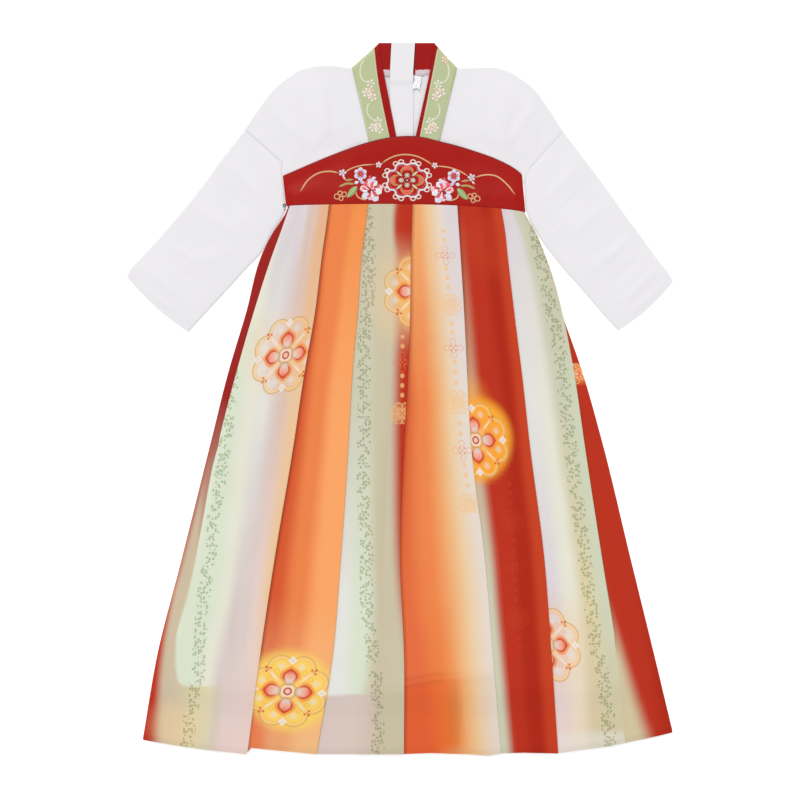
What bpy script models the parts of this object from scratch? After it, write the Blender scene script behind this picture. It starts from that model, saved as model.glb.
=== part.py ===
# Chest-high hanfu dress for a child of about 120 cm, laid flat on its back.
# The frame is in millimetres here and metres in Blender: +Y runs to the collar,
# +X to the right as seen from above, and the underside lies on Z = 0.
# Left and right are as seen from above.
import math

import bpy

MM = 0.001

# Driving sizes of the garment
CHEST_WIDTH = 310
WAIST_TO_HEM = 712
CENTRE_BACK = 3
COLLAR_TOP = 464
NECK_SEAM = 428
BACK_BAND_TOP = 291

# Thickness of a cloth wall, and the clearance that parts two layers
WALL = 1.1
BAND_WALL = 1.3
GAP = 0.3  # also the gap at each seam
PITCH = WALL + GAP

# Underside of each layer of the stack, from the floor up
FLOOR = 0.0
OVER_BACK = PITCH
OVER_FACING = 2 * PITCH
OVER_COLLAR_FACING = 3 * PITCH
OVER_COLLAR = 4 * PITCH
LINING_BACK_Z = 3 * PITCH
LINING_FRONT_Z = 4 * PITCH
SKIRT_FRONT_Z = 5 * PITCH

# Colours of the cloths, as linear RGB, with their roughness
WHITE_CREPE = ((0.80, 0.79, 0.81), 0.75)
GREEN_SATIN = ((0.50, 0.56, 0.32), 0.55)
RED_SATIN = ((0.42, 0.02, 0.015), 0.5)
PRINTED_CHIFFON = ((0.80, 0.42, 0.22), 0.8)
LINING_WHITE = ((0.78, 0.77, 0.72), 0.8)
LABEL_WHITE = ((0.85, 0.85, 0.85), 0.7)


def clear_scene():
    for obj in list(bpy.data.objects):
        bpy.data.objects.remove(obj, do_unlink=True)


def material(name, finish):
    colour, roughness = finish
    made = bpy.data.materials.get(name) or bpy.data.materials.new(name)
    made.use_nodes = True
    shader = made.node_tree.nodes["Principled BSDF"]
    shader.inputs["Base Color"].default_value = (*colour, 1.0)
    shader.inputs["Roughness"].default_value = roughness
    made.diffuse_color = (*colour, 1.0)
    return made


# Curves and tables


def ramp(value, low, high):
    return min(max((value - low) / (high - low), 0.0), 1.0)


def smooth(t):
    return t * t * (3 - 2 * t)


def read_table(table, at):
    # Straight lines between the rows of a table of (position, value).
    for (x0, y0), (x1, y1) in zip(table, table[1:]):
        if at <= x1:
            return y0 + (y1 - y0) * (at - x0) / (x1 - x0)
    (x0, y0), (x1, y1) = table[-2:]
    return y0 + (y1 - y0) * (at - x0) / (x1 - x0)


def along(points, share):
    # The point at this share of a chain's length.
    lengths = [math.dist(a, b) for a, b in zip(points, points[1:])]
    left = share * sum(lengths)
    for (a, b), length in zip(zip(points, points[1:]), lengths):
        if left <= length or b is points[-1]:
            t = left / length
            return (a[0] + (b[0] - a[0]) * t, a[1] + (b[1] - a[1]) * t)
        left -= length


def patch(top, bottom, left, right, across, down):
    # A Coons patch: rows of points between four edges that share their corners.
    rows = []
    for v in down:
        row = []
        for u in across:
            t, b = along(top, u), along(bottom, u)
            l, r = along(left, v), along(right, v)
            point = []
            for k in (0, 1):
                ruled = (1 - v) * t[k] + v * b[k] + (1 - u) * l[k] + u * r[k]
                corners = (1 - v) * ((1 - u) * top[0][k] + u * top[-1][k])
                corners += v * ((1 - u) * bottom[0][k] + u * bottom[-1][k])
                point.append(ruled - corners)
            row.append(tuple(point))
        rows.append(row)
    return rows


def even(count):
    return [k / count for k in range(count + 1)]


def through_corners(points, counts):
    # Shares of a chain's length that pass through its corners, with so many
    # steps between each two.
    lengths = [math.dist(a, b) for a, b in zip(points, points[1:])]
    shares, done = [0.0], 0.0
    for length, count in zip(lengths, counts):
        shares.extend((done + length * step / count) / sum(lengths) for step in range(1, count + 1))
        done += length
    return shares


# Walls


def add_wall(name, outer, inner, cloth, tube=False):
    # One closed wall between two grids of points. A sheet is closed along its
    # four edges, and a tube, whose rows run round, at its two ends. Every quad
    # is split from its upper left to its lower right as seen from above, so
    # that layers that lie on each other bend alike.
    rows, columns = len(outer), len(outer[0])
    points = [p for grid in (outer, inner) for row in grid for p in row]
    spans = columns if tube else columns - 1

    def at(side, row, column):
        return side * rows * columns + row * columns + column % columns

    faces = []

    def add_quad(a, b, c, d):
        halves = ((a, b, c), (a, c, d)) if points[a][0] <= points[b][0] else ((a, b, d), (b, c, d))
        faces.extend(halves)

    for row in range(rows - 1):
        for column in range(spans):
            a, b = (row, column), (row, column + 1)
            c, d = (row + 1, column + 1), (row + 1, column)
            add_quad(at(1, *a), at(1, *b), at(1, *c), at(1, *d))
            upper = [at(0, *corner) for corner in (a, b, c, d)]
            turned = len(faces)
            add_quad(*upper)
            faces[turned:] = [face[::-1] for face in faces[turned:]]
        if not tube:
            add_quad(at(0, row, 0), at(1, row, 0), at(1, row + 1, 0), at(0, row + 1, 0))
            last = columns - 1
            add_quad(at(1, row, last), at(0, row, last), at(0, row + 1, last), at(1, row + 1, last))
    for column in range(spans):
        add_quad(at(1, 0, column + 1), at(1, 0, column), at(0, 0, column), at(0, 0, column + 1))
        last = rows - 1
        add_quad(at(1, last, column), at(1, last, column + 1), at(0, last, column + 1), at(0, last, column))
    mesh = bpy.data.meshes.new(name)
    mesh.from_pydata([tuple(c * MM for c in p) for p in points], [], faces)
    mesh.materials.append(cloth)
    mesh.validate()
    turn_outwards(mesh)
    made = bpy.data.objects.new(name, mesh)
    bpy.context.scene.collection.objects.link(made)
    return made


def turn_outwards(mesh):
    # A closed mesh whose signed volume is negative faces inwards.
    mesh.calc_loop_triangles()
    volume = 0.0
    for triangle in mesh.loop_triangles:
        a, b, c = (mesh.vertices[k].co for k in triangle.vertices)
        volume += a.dot(b.cross(c))
    if volume < 0:
        mesh.flip_normals()


def add_sheet(name, grid, underside, cloth, wall=WALL):
    # underside(x, y, u, v) gives the height of the sheet's lower face.
    rows, columns = len(grid), len(grid[0])
    lower, upper = [], []
    for i, row in enumerate(grid):
        v = i / (rows - 1)
        heights = [underside(x, y, j / (columns - 1), v) for j, (x, y) in enumerate(row)]
        lower.append([(x, y, z) for (x, y), z in zip(row, heights)])
        upper.append([(x, y, z + wall) for (x, y), z in zip(row, heights)])
    return add_wall(name, upper, lower, cloth)


def level(height):
    return lambda x, y, u, v: height


# The skirt's plan
# Each table below gives X at a drop below the waist seam.

LEFT_EDGE = [(0, -145), (10, -149), (32, -164), (57, -177), (139, -200), (216, -223),
             (304, -245), (460, -284), (582, -315), (692, -334)]
RIGHT_EDGE = [(0, 157), (10, 161), (57, 183), (139, 210), (216, 237), (304, 262),
              (460, 300), (582, 330), (682, 354)]

# Y of the waist seam, and the drop of the hem, at places across
WAIST_SEAM = [(-148, 252), (-91, 253.5), (1, 254), (75, 252), (131, 248), (163, 244)]
WAIST_SEAM_ENDS = ((-147.5, 252), (162.5, 244))
WAIST_LEVEL = 252
SEAM_CURVE_REACH = 120
HEM_DROP = [(-340, 692), (-260, 704), (-200, 711), (-193, 703), (-108, 711), (5, 712), (205, 710),
            (275, 700), (356, 683)]

# One row for each fold of the front, from left to right: its edge's X at each of
# FOLD_DROPS, which panel lies on top, its depth at waist and hem, and the drop
# at which it has opened flat.
FOLD_DROPS = (0, 30, 60, 140, 220, 310, 460, 580, 710)
FRONT_FOLDS = [
    dict(x=(-143, -153, -164, -190, -213, -236, -265, -294, -308), top="right", depth=(10, 12), flat=340),
    dict(x=(-92, -96, -100, -108, -121, -135, -162, -181, -198), top="left", depth=(14, 22), flat=None),
    dict(x=(-42, -45, -49, -55, -62, -67, -77, -87, -108), top="left", depth=(13, 20), flat=None),
    dict(x=(16, 15, 14, 13, 10, 5, 0, 5, 5), top="left", depth=(14, 22), flat=None),
    dict(x=(74, 76, 78, 83, 87, 92, 110, 122, 135), top="left", depth=(14, 22), flat=None),
    dict(x=(131, 136, 139, 148, 158, 168, 187, 196, 205), top="left", depth=(13, 20), flat=None),
    dict(x=(161, 178, 189, 211, 226, 239, 262, 281, 294), top="left", depth=(12, 14), flat=606),
]
FRONT_LEVELS = (0, 10, 32, 58, 92, 139, 178, 216, 260, 300, 320, 340, 390, 460, 520, 566, 586, 606,
                634, 662, 712)
FRONT_SPANS = (1, 5, 3, 4, 4, 3, 3, 2)

# The back's folds are plain: evenly spaced, at waist and hem.
BACK_FOLD_COUNT = 7
BACK_FOLD_WAIST = (-100, 116)
BACK_FOLD_HEM = (-214, 232)
BACK_FOLD_DEPTH = (12, 18)
BACK_LEVELS = (0, 32, 92, 178, 300, 460, 600, 712)
BACK_SPANS = (2, 3, 3, 3, 3, 3, 3, 3)
BACK_RISE = 14

LINING_HEM = 626
LINING_BACK_HEM = 620
LINING_TURN_UP = 10
LINING_LEVELS = (-LINING_TURN_UP, 60, 140, 260, 380, 500)
LINING_SPANS = 10
LINING_LEFT = [(-10, -127), (0, -127), (57, -145), (139, -168), (620, -290)]
LINING_RIGHT = [(-10, 143), (0, 143), (57, 162), (620, 305)]

# A fold's clear length on each side, and how one opens flat: its least depth,
# the drop over which it gets shallow and then opens, and its six points then
FOLD_CLEARANCE = 3.0
LEAST_DEPTH = 2.5
SHALLOWING_LENGTH = 150
OPENING_LENGTH = 40
OPENED_PLACES = (-6, -4, -1.3, 1.3, 4, 6)
OPENED_LAYERS = (1.8, 1.6, 1.2, 0.8, 0.4, 0.2)

# How near the outermost folds may come to the side seams, as shares of the way
FIRST_FOLD_SHARES = dict(edge=0.18, settled=0.5)
LAST_FOLD_SHARES = dict(edge=0.6, settled=0.7)

# The front comes down at the side seams, over this width, and below the lining
SIDE_FALL = dict(at_waist=12, lower=24, reached=60)
HEM_FALL = (634, 662)


def drop_at(x, drop):
    # The hem curves up at the sides, and every level follows it in proportion.
    return drop * read_table(HEM_DROP, x) / WAIST_TO_HEM


def skirt_point(x_of, drop):
    # X and Y of a line of the skirt at this level.
    x = x_of(drop)
    for _ in range(3):
        x = x_of(drop_at(x, drop))
    seam = read_table(WAIST_SEAM, x)
    seam += (WAIST_LEVEL - seam) * smooth(ramp(drop, 0, SEAM_CURVE_REACH))
    return x, seam - GAP - drop_at(x, drop)


def fold_edge(fold):
    return lambda drop: read_table(list(zip(FOLD_DROPS, fold["x"])), drop)


def fold_depth(fold, drop):
    depth = fold["depth"][0] + (fold["depth"][1] - fold["depth"][0]) * drop / WAIST_TO_HEM
    if fold["flat"]:
        left = ramp(fold["flat"] - drop, OPENING_LENGTH, SHALLOWING_LENGTH)
        depth = LEAST_DEPTH + (depth - LEAST_DEPTH) * left
    return depth


def fold_corners(fold, x, drop):
    # The points of a fold, as (X, layer), from left to right along the cloth:
    # layer 2 is the outside, 1 the underlay and 0 the panel beneath. Then the
    # X where the cloth has settled before it and after it.
    depth = fold_depth(fold, drop)
    folded = [(x - depth, 2), (x, 2), (x, 1), (x - depth, 1), (x - depth, 0), (x, 0)]
    reach = (x - depth - FOLD_CLEARANCE, x + FOLD_CLEARANCE)
    if fold["top"] == "right":
        folded = [(2 * x - px, layer) for px, layer in reversed(folded)]
        reach = (x - FOLD_CLEARANCE, x + depth + FOLD_CLEARANCE)
    opening = ramp(drop, fold["flat"] - OPENING_LENGTH, fold["flat"]) if fold["flat"] else 0.0
    layers = OPENED_LAYERS if fold["top"] == "left" else reversed(OPENED_LAYERS)
    corners = []
    for (folded_x, folded_layer), away, layer in zip(folded, OPENED_PLACES, layers):
        opened_x = x + away
        corners.append((
            folded_x + (opened_x - folded_x) * opening,
            folded_layer + (layer - folded_layer) * opening,
        ))
    ends = (corners[0][0], corners[-1][0])
    return corners, min(reach[0], ends[0] - 1), max(reach[1], ends[1] + 1)


def skirt_section(folds, spans, left, right, drop, rise, side_layer):
    # Points along the cloth at one level, as (X, layer, share of panel). A
    # panel climbs to the outside over the length rise, or over its whole width.
    # side_layer is the layer of the cloth at the side seams.
    made = [fold_corners(fold, skirt_point(fold_edge(fold), drop)[0], drop) for fold in folds]
    # At the waist the side seams lie close to the outermost folds, or under them.
    corners, end, start = made[0]
    shares = FIRST_FOLD_SHARES
    first = max(corners[0][0], left + shares["edge"] * (corners[1][0] - left))
    end = max(end, left + shares["settled"] * (first - left))
    made[0] = ([(first, corners[0][1])] + corners[1:], end, start)
    corners, end, start = made[-1]
    shares = LAST_FOLD_SHARES
    last = min(corners[-1][0], right - shares["edge"] * (right - corners[-2][0]))
    start = min(start, right - shares["settled"] * (right - last))
    made[-1] = (corners[:-1] + [(last, corners[-1][1])], end, start)
    points = []
    for k, span in enumerate(spans):
        last = k == len(folds)
        start, start_layer = (made[k - 1][2], made[k - 1][0][-1][1]) if k else (left, side_layer)
        end, end_layer = (right, side_layer) if last else (made[k][1], made[k][0][0][1])
        for share in even(span):
            reach = rise or end - start
            climbed = math.sin(math.pi / 2 * ramp(share * (end - start), 0, reach))
            layer = start_layer + (end_layer - start_layer) * climbed
            points.append((start + (end - start) * share, layer, share))
        if not last:
            points.extend((x, layer, 0.0) for x, layer in made[k][0])
    return points


SHARPEST_MITRE = 0.5


def offset(path, half):
    # The two sides of a path of (x, z), mitred at its corners.
    sides = ([], [])
    for k, (x, z) in enumerate(path):
        normals = []
        for a, b in ((k - 1, k), (k, k + 1)):
            if a < 0 or b >= len(path):
                continue
            dx, dz = path[b][0] - path[a][0], path[b][1] - path[a][1]
            length = math.hypot(dx, dz)
            normals.append((-dz / length, dx / length))
        nx, nz = (sum(n[i] for n in normals) / len(normals) for i in (0, 1))
        reach = half / max(nx * nx + nz * nz, SHARPEST_MITRE)
        sides[0].append((x + nx * reach, z + nz * reach))
        sides[1].append((x - nx * reach, z - nz * reach))
    return sides


# Soft ridges of the front that are not folds: X and drop at both ends, width
# and height.
RIDGES = [
    dict(x=(-222, -242), drop=(430, 690), width=20, height=2.2),
    dict(x=(-188, -205), drop=(520, 700), width=16, height=1.4),
    dict(x=(-135, -150), drop=(300, 680), width=22, height=1.6),
    dict(x=(-25, -40), drop=(180, 690), width=24, height=1.8),
    dict(x=(52, 78), drop=(440, 700), width=18, height=2.2),
    dict(x=(98, 122), drop=(10, 110), width=12, height=1.0),
    dict(x=(140, 160), drop=(380, 700), width=20, height=1.6),
    dict(x=(168, 205), drop=(80, 300), width=18, height=1.2),
    dict(x=(262, 300), drop=(520, 690), width=22, height=1.6),
]


RIDGE_PAST_END = 40
RIDGE_START, RIDGE_CREST = 0.12, 0.6


def bump(place, middle, width):
    away = (place - middle) / width
    return math.exp(-away * away)


def ridge_height(x, drop):
    total = 0.0
    for ridge in RIDGES:
        (x0, x1), (top, foot) = ridge["x"], ridge["drop"]
        if drop < top or drop > foot + RIDGE_PAST_END:
            continue
        share = ramp(drop, top, foot)
        rising = math.sin(math.pi * min(share + RIDGE_START, RIDGE_CREST))
        total += ridge["height"] * rising * bump(x, x0 + (x1 - x0) * share, ridge["width"])
    return total


def front_base(drop):
    return SKIRT_FRONT_Z - (SKIRT_FRONT_Z - LINING_BACK_Z) * ramp(drop, *HEM_FALL)


def build_skirt_front():
    outer, inner = [], []
    for drop in FRONT_LEVELS:
        left = skirt_point(lambda d: read_table(LEFT_EDGE, d), drop)[0]
        right = skirt_point(lambda d: read_table(RIGHT_EDGE, d), drop)[0]
        section = skirt_section(FRONT_FOLDS, FRONT_SPANS, left, right, drop, None, 0)
        edges = [skirt_point(fold_edge(FRONT_FOLDS[k]), drop)[0] for k in (0, -1)]
        sides = (left, max(right, edges[1]))
        wider = ramp(drop, 0, SIDE_FALL["reached"])
        width = SIDE_FALL["at_waist"] + (SIDE_FALL["lower"] - SIDE_FALL["at_waist"]) * wider
        base = front_base(drop)
        path = [(x, base + WALL / 2 + PITCH * layer) for x, layer, _ in section]
        for side, points in zip((outer, inner), offset(path, WALL / 2)):
            row = []
            for (x, z), (_, _, share) in zip(points, section):
                settled = ramp(min(x - sides[0], sides[1] - x), 0, width)
                z -= (base - OVER_BACK) * (1 - settled)
                if 0 < share < 1:
                    z += ridge_height(x, drop) * math.sin(math.pi * share) ** 0.5 * settled
                row.append((x, skirt_point(lambda d, x=x: x, drop)[1], z))
            side.append(row)
    add_wall("skirt_front", outer, inner, material("printed_chiffon", PRINTED_CHIFFON))


def back_folds():
    folds = []
    for k in range(BACK_FOLD_COUNT):
        share = k / (BACK_FOLD_COUNT - 1)
        waist = BACK_FOLD_WAIST[0] + (BACK_FOLD_WAIST[1] - BACK_FOLD_WAIST[0]) * share
        hem = BACK_FOLD_HEM[0] + (BACK_FOLD_HEM[1] - BACK_FOLD_HEM[0]) * share
        xs = tuple(waist + (hem - waist) * d / FOLD_DROPS[-1] for d in FOLD_DROPS)
        folds.append(dict(x=xs, top="left", depth=BACK_FOLD_DEPTH, flat=None))
    return folds


def build_skirt_back():
    outer, inner = [], []
    folds = back_folds()
    for drop in BACK_LEVELS:
        left = skirt_point(lambda d: read_table(LEFT_EDGE, d), drop)[0]
        right = skirt_point(lambda d: read_table(RIGHT_EDGE, d), drop)[0]
        section = skirt_section(folds, BACK_SPANS, left, right, drop, BACK_RISE, 2)
        path = [(x, FLOOR + WALL / 2 + PITCH * (2 - layer)) for x, layer, _ in section]
        for side, points in zip((outer, inner), offset(path, WALL / 2)):
            side.append([
                (x, skirt_point(lambda d, x=x: x, drop)[1], z) for x, z in points
            ])
    add_wall("skirt_back", outer, inner, material("printed_chiffon", PRINTED_CHIFFON))


def build_lining(name, height, hem):
    grid = []
    for drop in (*LINING_LEVELS, hem):
        ends = []
        for table in (LINING_LEFT, LINING_RIGHT):
            x, y = skirt_point(lambda d, table=table: read_table(table, d), max(drop, 0))
            ends.append((x, y - min(drop, 0)))
        row = []
        for u in even(LINING_SPANS):
            x = ends[0][0] + (ends[1][0] - ends[0][0]) * u
            y = skirt_point(lambda d, x=x: x, max(drop, 0))[1] - min(drop, 0)
            row.append((x, y))
        grid.append(row)
    add_sheet(name, grid, level(height), material("lining_white", LINING_WHITE))


# Bodice and sleeves

# Outlines of the two sides, from the neck out and down
NECK_POINT_LEFT, NECK_POINT_RIGHT = (-54, 436.5), (66, 436.5)
SHOULDER_LEFT = [(-64, 431), (-88, 434.5), (-114, 433), (-130, 429), (-143, 421), (-156, 411),
                 (-169, 398), (-179, 385), (-190, 369), (-201, 352)]
SHOULDER_RIGHT = [(76, 431), (104, 432), (127, 431.5), (143, 426), (159, 416), (172, 406),
                  (182, 394), (192, 380), (203, 363), (211, 350)]
ARMHOLE_LEFT = [(-201, 352), (-153, 309), (-152.5, 292)]
ARMHOLE_RIGHT = [(211, 350), (170, 304), (163, 293)]
FRONT_BOTTOM_LEFT = [(-32, 330), (-42, 327), (-75, 316), (-152.5, 284)]
FRONT_BOTTOM_RIGHT = [(43, 330), (53, 328), (100, 315), (129, 304), (161, 282)]


# Air under each front, kept off the collar, the armhole and the waistband, and
# its creases: places across at top and bottom, and width, as shares, and height
BODICE_AIR = 1.2
CLEAR_OF_COLLAR, CLEAR_OF_ARMHOLE, CLEAR_OF_BAND = (0.1, 0.3), (0, 0.15), (0.1, 0.3)
CREASES_LEFT = [
    dict(across=(0.42, 0.5), width=0.12, height=1.4),
    dict(across=(0.72, 0.8), width=0.1, height=1.0),
]
CREASES_RIGHT = [
    dict(across=(0.4, 0.72), width=0.1, height=1.6),
    dict(across=(0.7, 0.9), width=0.1, height=0.8),
]


def bodice_puff(u, v, creases):
    puff = BODICE_AIR * math.sin(math.pi * u) * math.sin(math.pi * v)
    for crease in creases:
        middle = crease["across"][0] + (crease["across"][1] - crease["across"][0]) * v
        puff += crease["height"] * math.sin(math.pi * v) * bump(u, middle, crease["width"])
    clear = smooth(ramp(u, *CLEAR_OF_COLLAR)) * smooth(ramp(1 - u, *CLEAR_OF_ARMHOLE))
    return puff * clear * smooth(ramp(1 - v, *CLEAR_OF_BAND))


def build_bodice_front(side, neck, shoulder, armhole, bottom, creases):
    top = [neck] + shoulder
    inner = [neck, bottom[0]]
    outer = armhole[:-1] + [bottom[-1]]
    grid = patch(top, bottom, inner, outer, even(10), through_corners(outer, (5, 2)))

    def underside(x, y, u, v):
        return OVER_BACK + bodice_puff(u, v, creases)

    add_sheet(f"bodice_front_{side}", grid, underside, material("white_crepe", WHITE_CREPE))


def build_bodice_back(side, turn, shoulder, armhole):
    centre = CENTRE_BACK + turn * GAP / 2
    neck = (centre, NECK_SEAM - GAP)
    bottom = [(centre, BACK_BAND_TOP + GAP), (armhole[-1][0], BACK_BAND_TOP + GAP)]
    outer = armhole[:-1] + [bottom[-1]]
    down = through_corners(outer, (3, 1))
    grid = patch([neck] + shoulder, bottom, [neck, bottom[0]], outer, even(9), down)
    add_sheet(f"bodice_back_{side}", grid, level(FLOOR), material("white_crepe", WHITE_CREPE))


# One row for each section of a sleeve, from armhole to cuff: its outer and
# inner edge, the air in it, and the height and place of its crease.
SLEEVE_LEFT = [
    dict(outer=(-201.4, 351.6), inner=(-153.4, 308.6), air=0.0, crease=0.0, place=0.5),
    dict(outer=(-212, 338), inner=(-153.4, 290), air=0.8, crease=0.2, place=0.5),
    dict(outer=(-228, 318), inner=(-150.5, 260), air=1.2, crease=0.3, place=0.55),
    dict(outer=(-248, 291), inner=(-150.6, 242), air=1.4, crease=0.3, place=0.6),
    dict(outer=(-268, 264), inner=(-165.5, 219), air=1.4, crease=0.6, place=0.65),
    dict(outer=(-288, 240), inner=(-179.5, 192), air=1.3, crease=0.8, place=0.7),
    dict(outer=(-304, 221), inner=(-199, 171), air=1.2, crease=0.5, place=0.7),
    dict(outer=(-320, 203), inner=(-218, 150), air=1.2, crease=0.3, place=0.5),
    dict(outer=(-337, 185), inner=(-240, 126), air=1.1, crease=0.6, place=0.4),
    dict(outer=(-350, 171), inner=(-262, 102), air=0.9, crease=0.4, place=0.6),
    dict(outer=(-355, 160), inner=(-275, 88), air=0.5, crease=0.0, place=0.5),
]
SLEEVE_RIGHT = [
    dict(outer=(211.4, 349.6), inner=(170.4, 303.6), air=0.0, crease=0.0, place=0.5),
    dict(outer=(222, 336), inner=(163.6, 287), air=0.8, crease=0.4, place=0.6),
    dict(outer=(238, 315), inner=(162.9, 264), air=1.2, crease=0.7, place=0.7),
    dict(outer=(257, 290), inner=(166.4, 238), air=1.4, crease=0.8, place=0.7),
    dict(outer=(276, 264), inner=(184, 207), air=1.4, crease=0.5, place=0.6),
    dict(outer=(293, 240), inner=(198, 188), air=1.3, crease=0.4, place=0.5),
    dict(outer=(307, 221), inner=(215, 167), air=1.2, crease=0.3, place=0.4),
    dict(outer=(321, 202), inner=(232, 148), air=1.2, crease=0.5, place=0.4),
    dict(outer=(336, 181), inner=(251, 126), air=1.1, crease=0.7, place=0.5),
    dict(outer=(349, 165), inner=(270, 104), air=0.9, crease=0.5, place=0.6),
    dict(outer=(355, 154), inner=(283.5, 90), air=0.5, crease=0.0, place=0.5),
]
SLEEVE_SPANS = 8
SLEEVE_EDGE = dict(outside=1.2, inside=1.6)
SLEEVE_CREASE_WIDTH = 0.12
SLEEVE_FULLNESS = 0.7
CUFF_BOW = 4.0


def sleeve_ring(section, inset, bow):
    # Points round one section of a flattened tube. inset is 0 on the outside
    # of the cloth and WALL on its inside.
    (x0, y0), (x1, y1) = section["outer"], section["inner"]
    width = math.hypot(x1 - x0, y1 - y0)
    edge = SLEEVE_EDGE["inside"] if inset else SLEEVE_EDGE["outside"]
    half_way = FLOOR + PITCH - GAP / 2
    shares = even(SLEEVE_SPANS)
    ring = [(edge + (width - 2 * edge) * share, FLOOR + inset) for share in shares]
    ring.append((width - inset, half_way))
    for share in reversed(shares):
        middle = max(math.sin(math.pi * share), 0)
        air = section["air"] * middle ** SLEEVE_FULLNESS
        air += section["crease"] * middle * bump(share, section["place"], SLEEVE_CREASE_WIDTH)
        ring.append((edge + (width - 2 * edge) * share, OVER_BACK + WALL - inset + air))
    ring.append((inset, half_way))
    along_x, along_y = (x1 - x0) / width, (y1 - y0) / width
    points = []
    for s, z in ring:
        bowed = bow * math.sin(math.pi * s / width)
        out_x, out_y = (along_y, -along_x) if along_x > 0 else (-along_y, along_x)
        points.append((x0 + along_x * s + out_x * bowed, y0 + along_y * s + out_y * bowed, z))
    return points


def build_sleeve(side, sections):
    last = len(sections) - 1
    bows = [CUFF_BOW * ramp(k, last - 2, last) for k in range(last + 1)]
    outer = [sleeve_ring(section, 0, bow) for section, bow in zip(sections, bows)]
    inner = [sleeve_ring(section, WALL, bow) for section, bow in zip(sections, bows)]
    cloth = material("white_crepe", WHITE_CREPE)
    add_wall(f"sleeve_{side}", outer, inner, cloth, tube=True)


# Collar, its red facing, the back guard and the label

# Each band's outer edge, the seam of green and red, and the facing's inner edge
COLLAR_LEFT = dict(
    outer=[(-62.4, 431.6), (-38.8, 330)],
    seam=[(-33.5, 457), (-29.3, 421), (-11.9, 332.6)],
    inner=[(-28.5, 461.5), (-20.3, 421), (-3.4, 335)],
    tuck=-8,
)
COLLAR_RIGHT = dict(
    outer=[(74, 431.6), (49.5, 330)],
    seam=[(48.8, 457.5), (41.6, 420), (24.3, 334.5)],
    inner=[(46, 461.5), (37, 417.5), (18.7, 335)],
    tuck=8,
)
COLLAR_SPANS = dict(across=3, down=8)
TUCK_LOWERED = dict(by=7, y=(440, 455))

# The back of the neck: the top fold's end, the shoulder's and the facing's
BACK_NECK_LEFT = dict(fold=-27.5, shoulder=(-61.5, 431.6), facing=(-45, 427))
BACK_NECK_RIGHT = dict(fold=44.8, shoulder=(73, 431.6), facing=(57, 427))
FACING_BELOW_SEAM = 9


def build_collar(side, edges):
    # The green band lies on the red facing, which stands out past its inner edge.
    outer, seam, inner = edges["outer"], edges["seam"], edges["inner"]
    across, down = even(COLLAR_SPANS["across"]), even(COLLAR_SPANS["down"])
    green = patch([outer[0], seam[0]], [outer[-1], seam[-1]], outer, seam, across, down)
    add_sheet(f"collar_{side}", green, level(OVER_COLLAR_FACING), material("green_satin", GREEN_SATIN))
    lowered = TUCK_LOWERED
    tucked = [(x + edges["tuck"], y - lowered["by"] * ramp(y, *lowered["y"])) for x, y in seam]
    red = patch([tucked[0], inner[0]], [tucked[-1], inner[-1]], tucked, inner, across, down)
    add_sheet(f"facing_{side}", red, level(OVER_FACING), material("red_satin", RED_SATIN))


def build_back_neck(side, turn, ends):
    centre = CENTRE_BACK + turn * GAP / 2
    top = [(ends["fold"], COLLAR_TOP - GAP), (centre, COLLAR_TOP - GAP)]
    low = [ends["shoulder"], (centre, NECK_SEAM)]
    green = patch(top, low, [top[0], low[0]], [top[1], low[1]], even(4), even(2))
    add_sheet(f"collar_back_{side}", green, level(FLOOR), material("green_satin", GREEN_SATIN))
    low = [ends["facing"], (centre, NECK_SEAM - FACING_BELOW_SEAM)]
    red = patch(top, low, [top[0], low[0]], [top[1], low[1]], even(4), even(3))
    add_sheet(f"facing_back_{side}", red, level(OVER_BACK), material("red_satin", RED_SATIN))


# The guard strip behind the neck opening, which steps down off the facing
GUARD_LEFT = [(-11, COLLAR_TOP), (-13, 426), (-13, 262)]
GUARD_RIGHT = [(19.5, COLLAR_TOP), (17, 426), (17, 262)]
GUARD_STEP = (407, 416)
GUARD_DOWN = (0, 0.1, 0.19, 0.225, 0.26, 0.4, 0.6, 0.8, 1)
LABEL = dict(left=19, right=28.5, top=417.5, foot=402)


def build_guard():
    left, right = GUARD_LEFT, GUARD_RIGHT
    grid = patch([left[0], right[0]], [left[-1], right[-1]], left, right, even(4), GUARD_DOWN)

    def underside(x, y, u, v):
        return OVER_BACK + (OVER_FACING - OVER_BACK) * ramp(y, *GUARD_STEP)

    add_sheet("back_guard", grid, underside, material("white_crepe", WHITE_CREPE))


def build_label():
    left, right = LABEL["left"], LABEL["right"]
    top, foot = LABEL["top"], LABEL["foot"]
    grid = patch([(left, top), (right, top)], [(left, foot), (right, foot)],
                 [(left, top), (left, foot)], [(right, top), (right, foot)], even(1), even(2))
    add_sheet("neck_label", grid, level(OVER_BACK), material("label_white", LABEL_WHITE))


# Waistband

BAND_TOP = [(-152, 291), (-75, 323), (-42, 334), (-5, 341.5), (21, 342), (53, 335), (100, 322),
            (129, 311), (150, 299.5), (158, 293)]
BAND_SIDE_FALL = 13
BAND_BELLY = 4.9
BAND_LIP = 1.2
BAND_SPANS = 22
BAND_DOWN = (0, 0.1, 0.22, 0.36, 0.52, 0.68, 0.82, 0.92, 1)
COLLAR_MIDDLE = 6
OVER_COLLARS = (58, 90)  # from the collar's middle
OVER_SKIRT = (12, 36)  # from the waist seam up
UNDER_TOP_EDGE = (12, 34)  # from the top edge down
LIP_FROM = 0.3


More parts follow.
